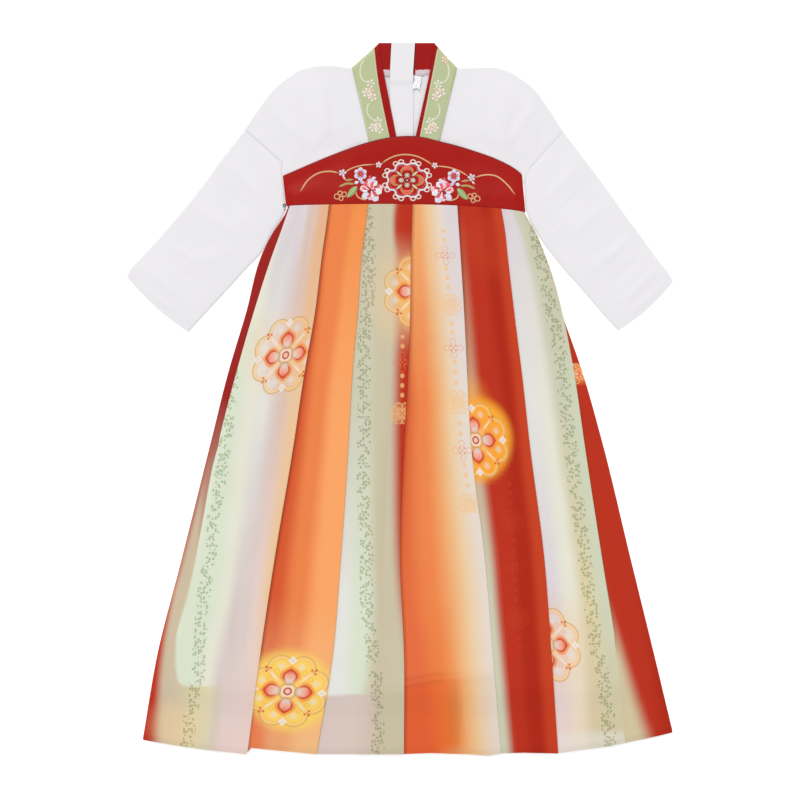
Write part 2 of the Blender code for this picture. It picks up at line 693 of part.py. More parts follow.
def band_underside(x, y):
    # The band lies on the skirt's top, sinks between, and rises over the collars.
    above_seam = y - read_table(WAIST_SEAM, x)
    below_top = read_table(BAND_TOP, x) - y
    height = SKIRT_FRONT_Z - (SKIRT_FRONT_Z - BAND_BELLY) * smooth(ramp(above_seam, *OVER_SKIRT))
    near_collar = 1 - ramp(abs(x - COLLAR_MIDDLE), *OVER_COLLARS)
    rim = OVER_FACING + (OVER_COLLAR - OVER_FACING) * smooth(near_collar)
    return rim + (height - rim) * smooth(ramp(below_top, *UNDER_TOP_EDGE))


def build_waistband():
    left = [BAND_TOP[0], WAIST_SEAM_ENDS[0]]
    right = [BAND_TOP[-1], WAIST_SEAM_ENDS[1]]
    bottom = [left[1], *WAIST_SEAM[1:-1], right[1]]
    lip = BAND_LIP / CHEST_WIDTH
    across = [0, lip, lip * 1.4, *even(BAND_SPANS)[1:-1], 1 - lip * 1.4, 1 - lip, 1]
    grid = patch(BAND_TOP, bottom, left, right, across, BAND_DOWN)
    lower, upper = [], []
    for v, row in zip(BAND_DOWN, grid):
        low_row, high_row = [], []
        for k, (x, y) in enumerate(row):
            side = min(x - row[0][0], row[-1][0] - x)
            fall = smooth(ramp(side, 0, BAND_SIDE_FALL))
            under = band_underside(x, y)
            under = OVER_FACING + (under - OVER_FACING) * fall
            low_row.append((x, y, under))
            high_row.append((x, y, under + BAND_WALL))
            if k in (0, 1, len(row) - 2, len(row) - 1) and v > LIP_FROM:
                low_row[-1] = (x, y, OVER_BACK)
        lower.append(low_row)
        upper.append(high_row)
    add_wall("waistband_front", upper, lower, material("red_satin", RED_SATIN))
    back_top = [(BAND_TOP[0][0], BACK_BAND_TOP), (BAND_TOP[-1][0], BACK_BAND_TOP)]
    sides = [back_top[0], left[1]], [back_top[1], right[1]]
    grid = patch(back_top, bottom, *sides, even(12), even(3))
    add_sheet("waistband_back", grid, level(FLOOR), material("red_satin", RED_SATIN))


def build_dress():
    clear_scene()
    build_bodice_front(
        "left", NECK_POINT_LEFT, SHOULDER_LEFT, ARMHOLE_LEFT, FRONT_BOTTOM_LEFT, CREASES_LEFT
    )
    build_bodice_front(
        "right", NECK_POINT_RIGHT, SHOULDER_RIGHT, ARMHOLE_RIGHT, FRONT_BOTTOM_RIGHT, CREASES_RIGHT
    )
    build_bodice_back("left", -1, SHOULDER_LEFT, ARMHOLE_LEFT)
    build_bodice_back("right", 1, SHOULDER_RIGHT, ARMHOLE_RIGHT)
    build_sleeve("left", SLEEVE_LEFT)
    build_sleeve("right", SLEEVE_RIGHT)
    build_collar("left", COLLAR_LEFT)
    build_collar("right", COLLAR_RIGHT)
    build_back_neck("left", -1, BACK_NECK_LEFT)
    build_back_neck("right", 1, BACK_NECK_RIGHT)
    build_guard()
    build_label()
    build_waistband()
    build_skirt_front()
    build_skirt_back()
    build_lining("lining_back", LINING_BACK_Z, LINING_BACK_HEM)
    build_lining("lining_front", LINING_FRONT_Z, LINING_HEM)


build_dress()
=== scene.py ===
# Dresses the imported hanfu: thin cloth on its solids, print, embroidery, light and camera.
# Places are in millimetres, +Y to the collar and +X to the right as seen from above.
import math

import bpy
import numpy as np
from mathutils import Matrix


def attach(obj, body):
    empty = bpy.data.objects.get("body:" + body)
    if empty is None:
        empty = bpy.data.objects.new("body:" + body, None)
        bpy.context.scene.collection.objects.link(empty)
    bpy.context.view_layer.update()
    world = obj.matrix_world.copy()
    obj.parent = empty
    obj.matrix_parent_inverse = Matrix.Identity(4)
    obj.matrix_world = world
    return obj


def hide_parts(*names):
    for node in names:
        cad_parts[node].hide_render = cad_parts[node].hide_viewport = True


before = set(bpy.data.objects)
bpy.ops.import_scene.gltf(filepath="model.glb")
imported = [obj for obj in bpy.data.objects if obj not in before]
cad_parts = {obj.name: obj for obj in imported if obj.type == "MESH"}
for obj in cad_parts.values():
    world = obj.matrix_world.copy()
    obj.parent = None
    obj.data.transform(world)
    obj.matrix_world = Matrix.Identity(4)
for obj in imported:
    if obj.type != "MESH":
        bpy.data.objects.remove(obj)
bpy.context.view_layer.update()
mm = 0.001

# The heights of the layers on their solids: each solid's underside, and its middle
layer = dict(
    floor=0.0, overBack=1.4, overFacing=2.8, overCollarFacing=4.2, overCollar=5.6,
    liningBack=4.2, liningFront=5.6, skirtFront=7.0, pitch=1.4, middle=0.55, seamGap=0.3,
)


# Small mathematics


def ramp(value, low, high):
    return np.clip((value - low) / (high - low), 0.0, 1.0)


def smooth(t):
    return t * t * (3 - 2 * t)


def soften(value, low, high):
    return smooth(ramp(value, low, high))


def window(value, start, full, fading, end):
    return soften(value, start, full) * (1 - soften(value, fading, end))


def mix(a, b, t):
    return a + (b - a) * t


def curve(rows):
    # A smooth line through the rows of a table of (position, value).
    at, value = (np.array(column, float) for column in zip(*rows))
    slope = np.gradient(value, at)
    fine = np.linspace(at[0], at[-1], 500)
    k = np.clip(np.searchsorted(at, fine, side="right") - 1, 0, len(at) - 2)
    span = at[k + 1] - at[k]
    t = (fine - at[k]) / span
    line = (2 * t**3 - 3 * t**2 + 1) * value[k] + (t**3 - 2 * t**2 + t) * span * slope[k]
    line += (3 * t**2 - 2 * t**3) * value[k + 1] + (t**3 - t**2) * span * slope[k + 1]
    return lambda x: np.interp(x, fine, line)


def lengths(points):
    # How far along a chain each of its points lies.
    return np.r_[0, np.cumsum(np.hypot(*np.diff(points, axis=0).T))]


def flow(points, steps=10):
    # The points of a smooth line through a few given ones.
    points = np.array(points, float)
    places = lengths(points)
    fine = np.unique(np.concatenate([np.linspace(a, b, steps + 1) for a, b in zip(places, places[1:])]))
    return np.stack([curve(list(zip(places, column)))(fine) for column in points.T], 1)


def walk(points, shares):
    # Points at these shares of a chain's length.
    points = np.array(points, float)
    places = lengths(points)
    return np.stack([np.interp(np.array(shares) * places[-1], places, c) for c in points.T], 1)


def patch(top, bottom, left, right, across, down):
    # X and Y of rows of points between four edges that share their corners.
    u, v = np.array(across)[None, :, None], np.array(down)[:, None, None]
    t, b = walk(top, across)[None], walk(bottom, across)[None]
    l, r = walk(left, down)[:, None], walk(right, down)[:, None]
    corners = (1 - v) * ((1 - u) * t[:, :1] + u * t[:, -1:])
    corners = corners + v * ((1 - u) * b[:, :1] + u * b[:, -1:])
    return np.moveaxis((1 - v) * t + v * b + (1 - u) * l + u * r - corners, -1, 0)


def spread(count, edge=0.0):
    # Shares from 0 to 1, closer together near both ends by this amount.
    even = np.linspace(0, 1, count + 1)
    return mix(even, (1 - np.cos(np.pi * even)) / 2, edge)


def rounding(distance, reach, depth):
    # How far a cloth's edge curls: by this depth at the edge, and not at all past its reach.
    return depth * (1 - np.sqrt(1 - (1 - ramp(distance, 0, reach)) ** 2))


def rightOf(points, closed=False):
    # The direction to the right of a line at each of its points.
    if closed:
        ahead = np.roll(points, -1, 0) - np.roll(points, 1, 0)
    else:
        ahead = np.gradient(points, axis=0)
    ahead = ahead / np.maximum(np.hypot(*ahead.T), 1e-6)[:, None]
    return np.stack([ahead[:, 1], -ahead[:, 0]], 1)


def creased(x, y, creases):
    # Soft ridges (+) and troughs (-), each from (x0, y0) to (x1, y1), with width and height.
    total = np.zeros(np.broadcast(x, y).shape)
    beyond = 0.15  # it fades out this share of its length past both ends
    for x0, y0, x1, y1, width, height in creases:
        length = math.hypot(x1 - x0, y1 - y0)
        ax, ay = (x1 - x0) / length, (y1 - y0) / length
        along = ((x - x0) * ax + (y - y0) * ay) / length
        away = (x - x0) * ay - (y - y0) * ax
        fade = np.sin(np.pi * ramp(along, -beyond, 1 + beyond)) ** 0.8
        total = total + height * fade * np.exp(-((away / width) ** 2))
    return total


def uneven(x, y, size, seed):
    # Slow waves from -1 to 1 that don't repeat, for cloth that is never quite flat.
    a, b, c = seed * 1.7, seed * 2.9, seed * 0.6
    waves = np.sin(x / size + 1.3 * np.sin(y / size * 0.71 + a) + b)
    waves = waves + np.sin(y / size * 0.83 + 1.1 * np.sin(x / size * 0.57 + c) + a)
    return (waves + np.sin((x + y) / size * 0.49 + b + c)) / 3


# Colours as they show, turned into what the cloth reflects in this light

lightLevel = 1.1  # what a white cloth would send back
haze = 0.009  # what the cloth's own gloss adds
dyes = dict(
    red=(189, 56, 38), darkRed=(177, 48, 32), brick=(200, 70, 42),
    satinRed=(170, 34, 29), facingRed=(160, 28, 26), collarGreen=(188, 197, 153),
    ember=(214, 92, 54), orange=(238, 134, 78), amber=(236, 126, 62), melon=(243, 147, 80),
    apricot=(251, 167, 104), tan=(241, 172, 112), butter=(238, 206, 162),
    peach=(237, 198, 156), blush=(233, 209, 202), shell=(231, 218, 206), lavender=(221, 212, 217),
    dusk=(218, 204, 199), mist=(229, 228, 222), cream=(231, 229, 213), sage=(219, 227, 205),
    fern=(208, 213, 187), moss=(206, 206, 182), oat=(205, 195, 168), greige=(201, 160, 130),
    wine=(160, 44, 42), coral=(230, 112, 68), brown=(128, 40, 18), rust=(170, 66, 34),
    sun=(246, 182, 64), glow=(250, 170, 58), straw=(250, 212, 104), wheat=(221, 209, 170),
    hay=(212, 198, 162), fawn=(207, 190, 163), rosewood=(217, 197, 189), clay=(236, 166, 118),
    honey=(241, 188, 134), skin=(222, 196, 182), petal=(230, 180, 142), linen=(236, 212, 188),
    bronze=(205, 125, 60), white=(237, 235, 238), tape=(248, 248, 252),
)


def dye(name):
    shown = np.array(dyes[name]) / 255
    linear = np.where(shown <= 0.04045, shown / 12.92, ((shown + 0.055) / 1.055) ** 2.4)
    return np.clip(linear / lightLevel - haze, 0.001, 0.9)


# Cloth meshes


def selectOnly(obj):
    bpy.ops.object.select_all(action="DESELECT")
    obj.select_set(True)
    bpy.context.view_layer.objects.active = obj


def turnOutwards(obj):
    selectOnly(obj)
    bpy.ops.object.mode_set(mode="EDIT")
    bpy.ops.mesh.select_all(action="SELECT")
    bpy.ops.mesh.normals_make_consistent(inside=False)
    bpy.ops.object.mode_set(mode="OBJECT")


def makePiece(name, points, faces, material, maps, colours, values=None):
    # A mesh from points in mm, with a place on each map, a dye and a value for every point.
    mesh = bpy.data.meshes.new(name)
    mesh.from_pydata((points * mm).tolist(), [], faces)
    mesh.update()
    corner = np.zeros(len(mesh.loops), np.int32)
    mesh.loops.foreach_get("vertex_index", corner)
    for key, flat in maps.items():
        flat = flat.reshape(-1, 2)[corner].astype(np.float32)
        mesh.uv_layers.new(name=key).uv.foreach_set("vector", flat.ravel())
    for key, shades in colours.items():
        rgba = np.ones((len(points), 4), np.float32)
        rgba[:, :shades.shape[-1]] = shades.reshape(len(points), -1)
        mesh.color_attributes.new(key, "FLOAT_COLOR", "POINT").data.foreach_set("color", rgba.ravel())
    for key, value in (values or {}).items():
        data = mesh.attributes.new(key, "FLOAT", "POINT").data
        data.foreach_set("value", value.astype(np.float32).ravel())
    obj = bpy.data.objects.new(name, mesh)
    bpy.context.scene.collection.objects.link(obj)
    obj.data.materials.append(material)
    return obj


def buildSheet(name, grid, thickness, material, tube=False, maps=None, colours=None, values=None):
    # A cloth of this thickness from rows of points. Its own map lets the weave follow it.
    rows, columns = grid.shape[:2]
    index = np.arange(rows * columns).reshape(rows, columns)
    if tube:
        index = np.hstack([index, index[:, :1]])
    faces = np.stack([index[:-1, :-1], index[1:, :-1], index[1:, 1:], index[:-1, 1:]], -1).reshape(-1, 4)
    across = np.linalg.norm(np.diff(grid, axis=1), axis=2).cumsum(axis=1)
    across = np.hstack([np.zeros((rows, 1)), across])
    down = np.linalg.norm(np.diff(grid, axis=0), axis=2).mean(axis=1).cumsum()
    down = np.broadcast_to(-np.r_[0, down][:, None], across.shape)
    maps = {"cloth": np.stack([across, down], -1) * mm, **(maps or {})}
    obj = makePiece(name, grid.reshape(-1, 3), faces.tolist(), material, maps, colours or {}, values)
    if tube:
        turnOutwards(obj)
    selectOnly(obj)
    wall = obj.modifiers.new("wall", "SOLIDIFY")
    wall.thickness = thickness * mm
    wall.offset = 0
    bpy.ops.object.modifier_apply(modifier=wall.name)
    bpy.ops.object.shade_smooth_by_angle(angle=math.radians(55))
    return obj


def sew(node, kind, x, y, z, thickness, flat, area=None, on=(), **look):
    # One cloth as it lies, in mm. It stands for its solid and rides the one body. How it was cut, in m, is
    # not used.
    cloth = cloths[kind]
    grid = np.stack(np.broadcast_arrays(x, y, z), -1)
    obj = buildSheet(f"{node}_{cloth['ending']}", grid, thickness, cloth["material"], **look)
    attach(obj, "root")
    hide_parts(node)


# Shader helpers


def addNode(tree, kind, values=None, **settings):
    made = tree.nodes.new("ShaderNode" + kind)
    for key, value in settings.items():
        setattr(made, key, value)
    for key, value in (values or {}).items():
        join(tree, value, made.inputs[key])
    return made


def join(tree, value, socket):
    if isinstance(value, bpy.types.NodeSocket):
        tree.links.new(value, socket)
    else:
        socket.default_value = value


def calc(tree, operation, *terms):
    made = addNode(tree, "Math", operation=operation)
    for k, term in enumerate(terms):
        join(tree, term, made.inputs[k])
    return made.outputs[0]


def times(tree, a, b):
    return calc(tree, "MULTIPLY", a, b)


def minus(tree, a, b):
    return calc(tree, "SUBTRACT", a, b)


def largest(tree, masks):
    most = masks[0]
    for mask in masks[1:]:
        most = calc(tree, "MAXIMUM", most, mask)
    return most


def attribute(tree, name):
    return addNode(tree, "Attribute", attribute_name=name).outputs


def uvMap(tree, name):
    return addNode(tree, "UVMap", uv_map=name).outputs[0]


def blendColour(tree, share, a, b, mode="MIX"):
    made = addNode(tree, "Mix", data_type="RGBA", blend_type=mode)
    for key, value in ((0, share), (6, a), (7, b)):
        join(tree, value, made.inputs[key])
    return made.outputs[2]


def shaded(tree, colour, light):
    # A colour multiplied by a grey of this value: painted shade and highlight on the thread, uneven tone on
    # the cloth.
    grey = addNode(tree, "CombineColor", {0: light, 1: light, 2: light}).outputs[0]
    return blendColour(tree, 1.0, colour, grey, "MULTIPLY")


def startGroup(name, inputs, outputs):
    tree = bpy.data.node_groups.new(name, "ShaderNodeTree")
    for label, (kind, value) in inputs.items():
        socket = tree.interface.new_socket(label, in_out="INPUT", socket_type="NodeSocket" + kind)
        if value is not None:
            socket.default_value = value
    for label, kind in outputs.items():
        tree.interface.new_socket(label, in_out="OUTPUT", socket_type="NodeSocket" + kind)
    return tree, tree.nodes.new("NodeGroupInput").outputs, tree.nodes.new("NodeGroupOutput").inputs


def useGroup(tree, group, values):
    made = tree.nodes.new("ShaderNodeGroup")
    made.node_tree = group
    for key, value in values.items():
        join(tree, value, made.inputs[key])
    return made.outputs


def newMaterial(name, rough, gloss, sheen=0.0):
    made = bpy.data.materials.new(name)
    made.use_nodes = True
    sockets = made.node_tree.nodes["Principled BSDF"].inputs
    for key, value in (("Roughness", rough), ("Specular IOR Level", gloss), ("Sheen Weight", sheen)):
        sockets[key].default_value = value
    return made, made.node_tree, sockets


def makeWeave():
    # Plain weave of two crossing thread sets, with uneven threads.
    tree, given, out = startGroup(
        "plain weave", {"Vector": ("Vector", None), "Threads": ("Float", 2400.0)},
        {"Height": "Float", "Thread": "Float"},
    )
    threads = {"Vector": given["Vector"], "Scale": times(tree, given["Threads"], 0.05), "Distortion": 0.6,
               "Detail": 1.0}
    waves = [addNode(tree, "TexWave", threads, bands_direction=way).outputs["Fac"] for way in ("X", "Y")]
    slub = addNode(tree, "TexNoise", {"Vector": given["Vector"], "Scale": 900.0, "Detail": 3.0})
    join(tree, times(tree, *waves), out["Height"])
    join(tree, slub.outputs["Fac"], out["Thread"])
    return tree


def makeCrinkle():
    # Fine lengthwise crinkles and slow unevenness of a soft cloth.
    tree, given, out = startGroup(
        "crinkle", {"Vector": ("Vector", None), "Fine": ("Float", 220.0), "Slow": ("Float", 18.0)},
        {"Height": "Float", "Patch": "Float"},
    )
    stretched = addNode(tree, "Mapping", {"Vector": given["Vector"], "Scale": (1.0, 0.22, 1.0)})
    fine = addNode(tree, "TexNoise", {"Vector": stretched.outputs[0], "Scale": given["Fine"],
                                      "Detail": 4.0, "Roughness": 0.6})
    slow = addNode(tree, "TexNoise", {"Vector": given["Vector"], "Scale": given["Slow"], "Detail": 2.0})
    height = calc(tree, "ADD", fine.outputs["Fac"], times(tree, slow.outputs["Fac"], 1.5))
    join(tree, height, out["Height"])
    join(tree, slow.outputs["Fac"], out["Patch"])
    return tree


weave = makeWeave()
crinkle = makeCrinkle()
finishes = dict(
    crepe=dict(rough=0.85, sheen=0.1, gloss=0.15, bump=0.5, crinkle=0.6, vary=0.025),
    chiffon=dict(rough=0.75, sheen=0.06, gloss=0.12, bump=0.35, crinkle=0.5, vary=0.03),
    satin=dict(rough=0.45, sheen=0.0, gloss=0.14, bump=0.35, crinkle=0.3, vary=0.06),
    plain=dict(rough=0.9, sheen=0.05, gloss=0.1, bump=0.3, crinkle=0.3, vary=0.03),
)
relief = dict(thread=0.15, crinkle=1.2, depth=0.0006)
cloths = {}


def makeCloth(name, ending, slot, finish, colour=None, paint=None):
    # A cloth: its colour, or paint(tree) for a printed one, with weave, crinkle and sheen. The names
    # of its pieces have this ending.
    values = finishes[finish]
    material, tree, sockets = newMaterial(name, values["rough"], values["gloss"], values["sheen"])
    flat = uvMap(tree, "cloth")
    threads = useGroup(tree, weave, {"Vector": flat})
    folds = useGroup(tree, crinkle, {"Vector": flat})
    vary = values["vary"]
    thread, patchy = (calc(tree, "MULTIPLY_ADD", share, vary * 2, 1 - vary)
                      for share in (threads["Thread"], folds["Patch"]))
    base = paint(tree) if paint else (*dye(colour), 1)
    join(tree, shaded(tree, base, times(tree, thread, patchy)), sockets["Base Color"])
    height = times(tree, folds["Height"], values["crinkle"] * relief["crinkle"])
    height = calc(tree, "MULTIPLY_ADD", threads["Height"], relief["thread"], height)
    bump = addNode(tree, "Bump", {"Height": height, "Strength": values["bump"],
                                  "Distance": relief["depth"]})
    join(tree, bump.outputs[0], sockets["Normal"])
    cloths[name] = dict(ending=ending, slot=slot, material=material)


for row in (
    ("white crepe", "crepe", "white_crepe", "crepe", "white"),
    ("lining", "cloth", "lining_white", "plain", "cream"),
    ("red satin", "satin", "red_satin", "satin", "satinRed"),
    ("facing satin", "satin", "red_satin", "satin", "facingRed"),
    ("green satin", "satin", "green_satin", "satin", "collarGreen"),
    ("label tape", "tape", "label_white", "plain", "tape"),
):
    makeCloth(*row)
print("cloths made")

# The skirt's plan, as its solids have it

skirt = dict(
    length=712, waistLevel=252, seamReach=120,
    left=[(0, -145), (10, -149), (32, -164), (57, -177), (139, -200), (216, -223), (304, -245),
          (460, -284), (582, -315), (692, -334)],
    right=[(0, 157), (10, 161), (57, 183), (139, 210), (216, 237), (304, 262), (460, 300),
           (582, 330), (682, 354)],
    waistSeam=[(-180, 251.2), (-148, 252), (-91, 253.5), (1, 254), (75, 252), (131, 248), (163, 244),
               (200, 240)],
    hemDrop=[(-340, 692), (-260, 704), (-200, 711), (-193, 703), (-108, 711), (5, 711), (40, 709.5),
             (90, 711), (114, 713), (131, 710), (160, 709), (205, 710), (275, 700), (356, 683)],
    drops=(0, 30, 60, 140, 220, 310, 460, 580, 710),
)
waistSeam = curve(skirt["waistSeam"])
leftEdge, rightEdge = curve(skirt["left"]), curve(skirt["right"])


def dropAt(x, drop):
    # The hem curves up at the sides, and every level follows it in proportion.
    return drop * np.interp(x, *zip(*skirt["hemDrop"])) / skirt["length"]


def lineAt(line, drop):
    x = line(drop)
    for _ in range(3):
        x = line(dropAt(x, drop))
    return x


def levelY(x, drop):
    seam = waistSeam(x)
    seam = seam + (skirt["waistLevel"] - seam) * soften(drop, 0, skirt["seamReach"])
    return seam - layer["seamGap"] - dropAt(x, drop)


foldShape = dict(
    leastDepth=2.5, shallowing=150, opening=40, clear=3.0, roundness=0.68,
    openedAway=(-6, -4, -1.3, 1.3, 4, 6), openedLayer=(1.8, 1.6, 1.2, 0.8, 0.4, 0.2), pressing=(300, 500),
)


def foldCorners(fold, drop):
    # The six corners of a fold at every level, as X and layer, and where it has settled.
    x = lineAt(curve(list(zip(skirt["drops"], fold["x"]))), drop)
    depth = mix(fold["depth"][0], fold["depth"][1], drop / skirt["length"])
    opening = np.zeros_like(drop)
    if fold["flat"]:
        left = ramp(fold["flat"] - drop, foldShape["opening"], foldShape["shallowing"])
        depth = foldShape["leastDepth"] + (depth - foldShape["leastDepth"]) * left
        opening = ramp(drop, fold["flat"] - foldShape["opening"], fold["flat"])
    zero = np.zeros_like(drop)
    away, layers = [-depth, zero, zero, -depth, -depth, zero], [2, 2, 1, 1, 0, 0]
    opened = foldShape["openedLayer"]
    if fold["top"] == "right":
        away, layers, opened = [-a for a in reversed(away)], layers[::-1], opened[::-1]
    xs = [x + mix(a, o, opening) for a, o in zip(away, foldShape["openedAway"])]
    press = mix(1, fold.get("pressed", 1), soften(drop, *foldShape["pressing"]))
    zs = [mix(l, o, opening) * press for l, o in zip(layers, opened)]
    reach = (-depth - foldShape["clear"], zero + foldShape["clear"])
    if fold["top"] == "right":
        reach = (-reach[1], -reach[0])
    return dict(edge=x, xs=xs, zs=zs, round=foldShape["roundness"] * (1 - opening),
                before=np.minimum(x + reach[0], xs[0] - 1), after=np.maximum(x + reach[1], xs[-1] + 1))


def foldColumns(fold):
    # Columns of points through a fold, with its two bends rounded.
    xs, zs, r = fold["xs"], fold["zs"], fold["round"]
    columns = []
    for s in (0, 0.25, 0.5, 0.75, 0.9):
        columns.append((mix(xs[0], xs[1] - r, s), mix(zs[0], zs[1], s)))
    for k, side in ((1, 1), (3, -1)):
        for w in (0, 0.25, 0.5, 0.75, 1):
            x = mix(xs[k], xs[k + 1], w) - side * r * (1 - math.sin(math.pi * w))
            columns.append((x, mix(zs[k], zs[k + 1], (1 - math.cos(math.pi * w)) / 2)))
        if k == 1:
            columns.extend((mix(xs[2] - r, xs[3] + r, s), mix(zs[2], zs[3], s)) for s in (0.33, 0.67))
    columns.extend((mix(xs[4] + r, xs[5], s), mix(zs[4], zs[5], s)) for s in (0.33, 0.67, 1))
    return columns


def pleat(folds, spans, drop, rise, sideLayer):
    # The cloth at every level: X, layer, panel, and share of the panel for what isn't folded.
    left, right = lineAt(leftEdge, drop), lineAt(rightEdge, drop)
    made = [foldCorners(fold, drop) for fold in folds]
    first, last = made[0], made[-1]
    first["xs"][0] = np.maximum(first["xs"][0], left + 0.18 * (first["xs"][1] - left))
    first["before"] = np.maximum(first["before"], left + 0.5 * (first["xs"][0] - left))
    last["xs"][5] = np.minimum(last["xs"][5], right - 0.6 * (right - last["xs"][4]))
    last["after"] = np.minimum(last["after"], right - 0.7 * (right - last["xs"][5]))
    columns = []
    for k, span in enumerate(spans):
        ends = k == len(folds)
        start, low = (made[k - 1]["after"], made[k - 1]["zs"][5]) if k else (left, sideLayer)
        end, high = (right, sideLayer) if ends else (made[k]["before"], made[k]["zs"][0])
        for share in spread(span, 0.6):
            climbed = np.sin(np.pi / 2 * ramp(share * (end - start), 0, rise or end - start))
            columns.append((mix(start, end, share), mix(low, high, climbed), k, share))
        if not ends:
            folded = foldColumns(made[k])
            columns.extend((x, z, k + (n >= len(folded) / 2), 0.0) for n, (x, z) in enumerate(folded))
    x = np.stack([c[0] for c in columns], 1)
    height = np.stack([np.broadcast_to(c[1], drop.shape) for c in columns], 1)
    return dict(
        x=x, layer=height, panel=np.array([c[2] for c in columns]), share=np.array([c[3] for c in columns]),
        left=left, right=right, edges=[left] + [f["edge"] for f in made] + [right],
    )


# The skirt's dyed stripes: each panel's dyes from its left fold to its right one. A stripe ends
# at these shares of the panel's width at the four levels, and one with four dyes changes downwards.
printLevels = (0, 250, 510, 712)
panelStripes = [
    [(("wine", "wine", "red", "red"), (0, 0, 0.08, 0.68)), (("wine", "wine", "fawn", "fawn"), None)],
    [("sage", (-0.3, 0.2, 0.42, 0.3)), ("cream", (-0.1, 0.42, 0.55, 0.46)),
     (("lavender", "mist", "dusk", "dusk"), (0.3, 0.58, 0.68, 0.62)),
     (("lavender", "dusk", "dusk", "blush"), (0.5, 0.68, 0.8, 1.0)),
     (("skin", "skin", "blush", "blush"), (0.76, 0.84, 0.92, 1.0)),
     (("petal", "peach", "peach", "blush"), None)],
    [(("ember", "ember", "ember", "clay"), (0, 0.16, 0.26, 0.3)),
     (("orange", "orange", "orange", "clay"), (0.6, 0.55, 0.6, 0.6)),
     (("melon", "apricot", "apricot", "honey"), None)],
    [(("oat", "moss", "mist", "mist"), (0.02, 0.15, 0.2, 0.3)),
     (("oat", "moss", "sage", "sage"), (0.3, 0.4, 0.56, 0.46)),
     ("oat", (0.68, 0.8, 0.99, 1.2)), ("red", None)],
    [(("tan", "ember", "coral", "coral"), (-0.1, 0.1, 0.2, 0.36)),
     (("tan", "orange", "orange", "amber"), (0.26, 0.42, 0.5, 0.58)),
     (("butter", "tan", "tan", "tan"), (0.5, 0.6, 0.68, 0.7)),
     (("shell", "butter", "butter", "butter"), (0.7, 0.78, 0.86, 0.86)),
     (("lavender", "shell", "shell", "shell"), None)],
    [(("red", "greige", "moss", "moss"), (0.1, 0.17, 0.13, 0.17)), ("red", (0.5, 0.6, 0.5, 0.5)),
     ("darkRed", (0.8, 0.84, 0.8, 0.8)), ("brick", None)],
    [(("lavender", "mist", "lavender", "blush"), (0.25, 0.3, 0.22, 0.22)),
     (("lavender", "cream", "cream", "linen"), (0.5, 0.52, 0.52, 0.46)),
     (("moss", "moss", "wheat", "hay"), (0.85, 0.8, 0.8, 0.72)), (("oat", "fern", "fern", "hay"), None)],
    [("hay", (-0.3, -0.3, -0.1, 0.47)), ("red", (1.3, 1.3, 1.0, 0.75)), ("darkRed", None)],
]
stripeBlur = (0.32, 0.1, 0.14, 0.12, 0.14, 0.1, 0.12, 0.2)


def stripes(panel, share, drop):
    # The dye at each point of one panel.
    colour = None
    before = None
    for names, ends in panelStripes[panel]:
        names = (names,) * 4 if isinstance(names, str) else names
        bands = np.stack([dye(n) for n in names])
        own = np.stack([np.interp(drop, printLevels, band) for band in bands.T], -1)
        if colour is None:
            colour = own
        else:
            blur = stripeBlur[panel]
            colour = mix(colour, own, soften(share, before - blur, before + blur)[..., None])
        if ends:
            before = np.interp(drop, printLevels, ends)
    return colour


def inPanel(cloth, k):
    # How far each point lies from the left fold of this panel, in mm and as a share of its width.
    a, b = cloth["edges"][k][:, None], cloth["edges"][k + 1][:, None]
    past = cloth["x"] - a
    return past, past / np.maximum(b - a, 8)


# Dye of the front that belongs to one place: panel, dye, centre, radii, strength and softness
washes = [
    (3, "red", (8, 228), (16, 46), 0.95, 0.3), (3, "sun", (18, 139), (24, 46), 1.0, 0.3),
    (3, "butter", (-2, 136), (34, 60), 0.45, 0.5),
    (2, "straw", (-144, -377), (57, 51), 0.95, 0.2), (5, "glow", (98, -52), (46, 54), 1.0, 0.16),
    (6, "peach", (194, -316), (50, 56), 0.35, 0.5), (1, "butter", (-150, 58), (50, 54), 0.3, 0.4),
    (7, "melon", (231, 35), (40, 12), 0.85, 0.15), (4, "bronze", (71, -412), (9, 46), 0.35, 0.6),
    (2, "coral", (-193, -442), (17, 34), 0.7, 0.6), (4, "peach", (84, -458), (26, 8), 0.3, 0.7),
    (0, "butter", (-292, -424), (26, 30), 0.55, 0.7),
    (1, "butter", (-292, -424), (26, 30), 0.55, 0.7), (6, "mist", (262, -446), (110, 16), 0.5, 0.4),
    (5, "brick", (120, 200), (40, 40), 0.4, 0.5), (5, "glow", (84, -8), (26, 34), 0.5, 0.5),
]
lining = dict(
    left=[(-10, -127), (0, -127), (57, -145), (139, -168), (620, -290)],
    right=[(-10, 143), (0, 143), (57, 162), (620, 305)],
    hemFront=626, hemBack=620, turnUp=10, thickness=0.4, flat=(0.60, 0.66), area=0.275,
    # for each panel, where the lining's hem shows at its left and right side, and how much
    hemLeft=(620, 634, 628, 636, 624, 626, 626, 626), hemRight=(620, 620, 628, 630, 606, 626, 626, 626),
    shows=(0.3, 0.3, 0.1, 0.4, 1.0, 0.3, 0.1, 0.1), hemFold=9, corner=10,
    # its left side as it shows, and the panels where its stitched hem shows as lines, up to this share
    leftShown=[(0, -127), (57, -145), (139, -168), (300, -232), (347, -252), (465, -265), (518, -276),
               (561, -289.6), (606, -290.7), (640, -286)],
    hemLines={4: 0.46}, hemLineShade=0.14,
)
# Dye of what no lining brightens: panel, dyes at its left and to the right of that, strength, and the
# shares and drops between which it comes and goes
bare = [
    (0, ("fawn", "fawn"), 0.9, (0.1, 0.5, 2, 3), (320, 430, 520, 600)),
    (1, ("fawn", "wheat"), 0.9, (-2, -1, 0.4, 0.7), (300, 430, 800, 900)),
    (3, ("rosewood", "rosewood"), 0.85, (-2, -1, 0.5, 0.75), (600, 610, 800, 900)),
]
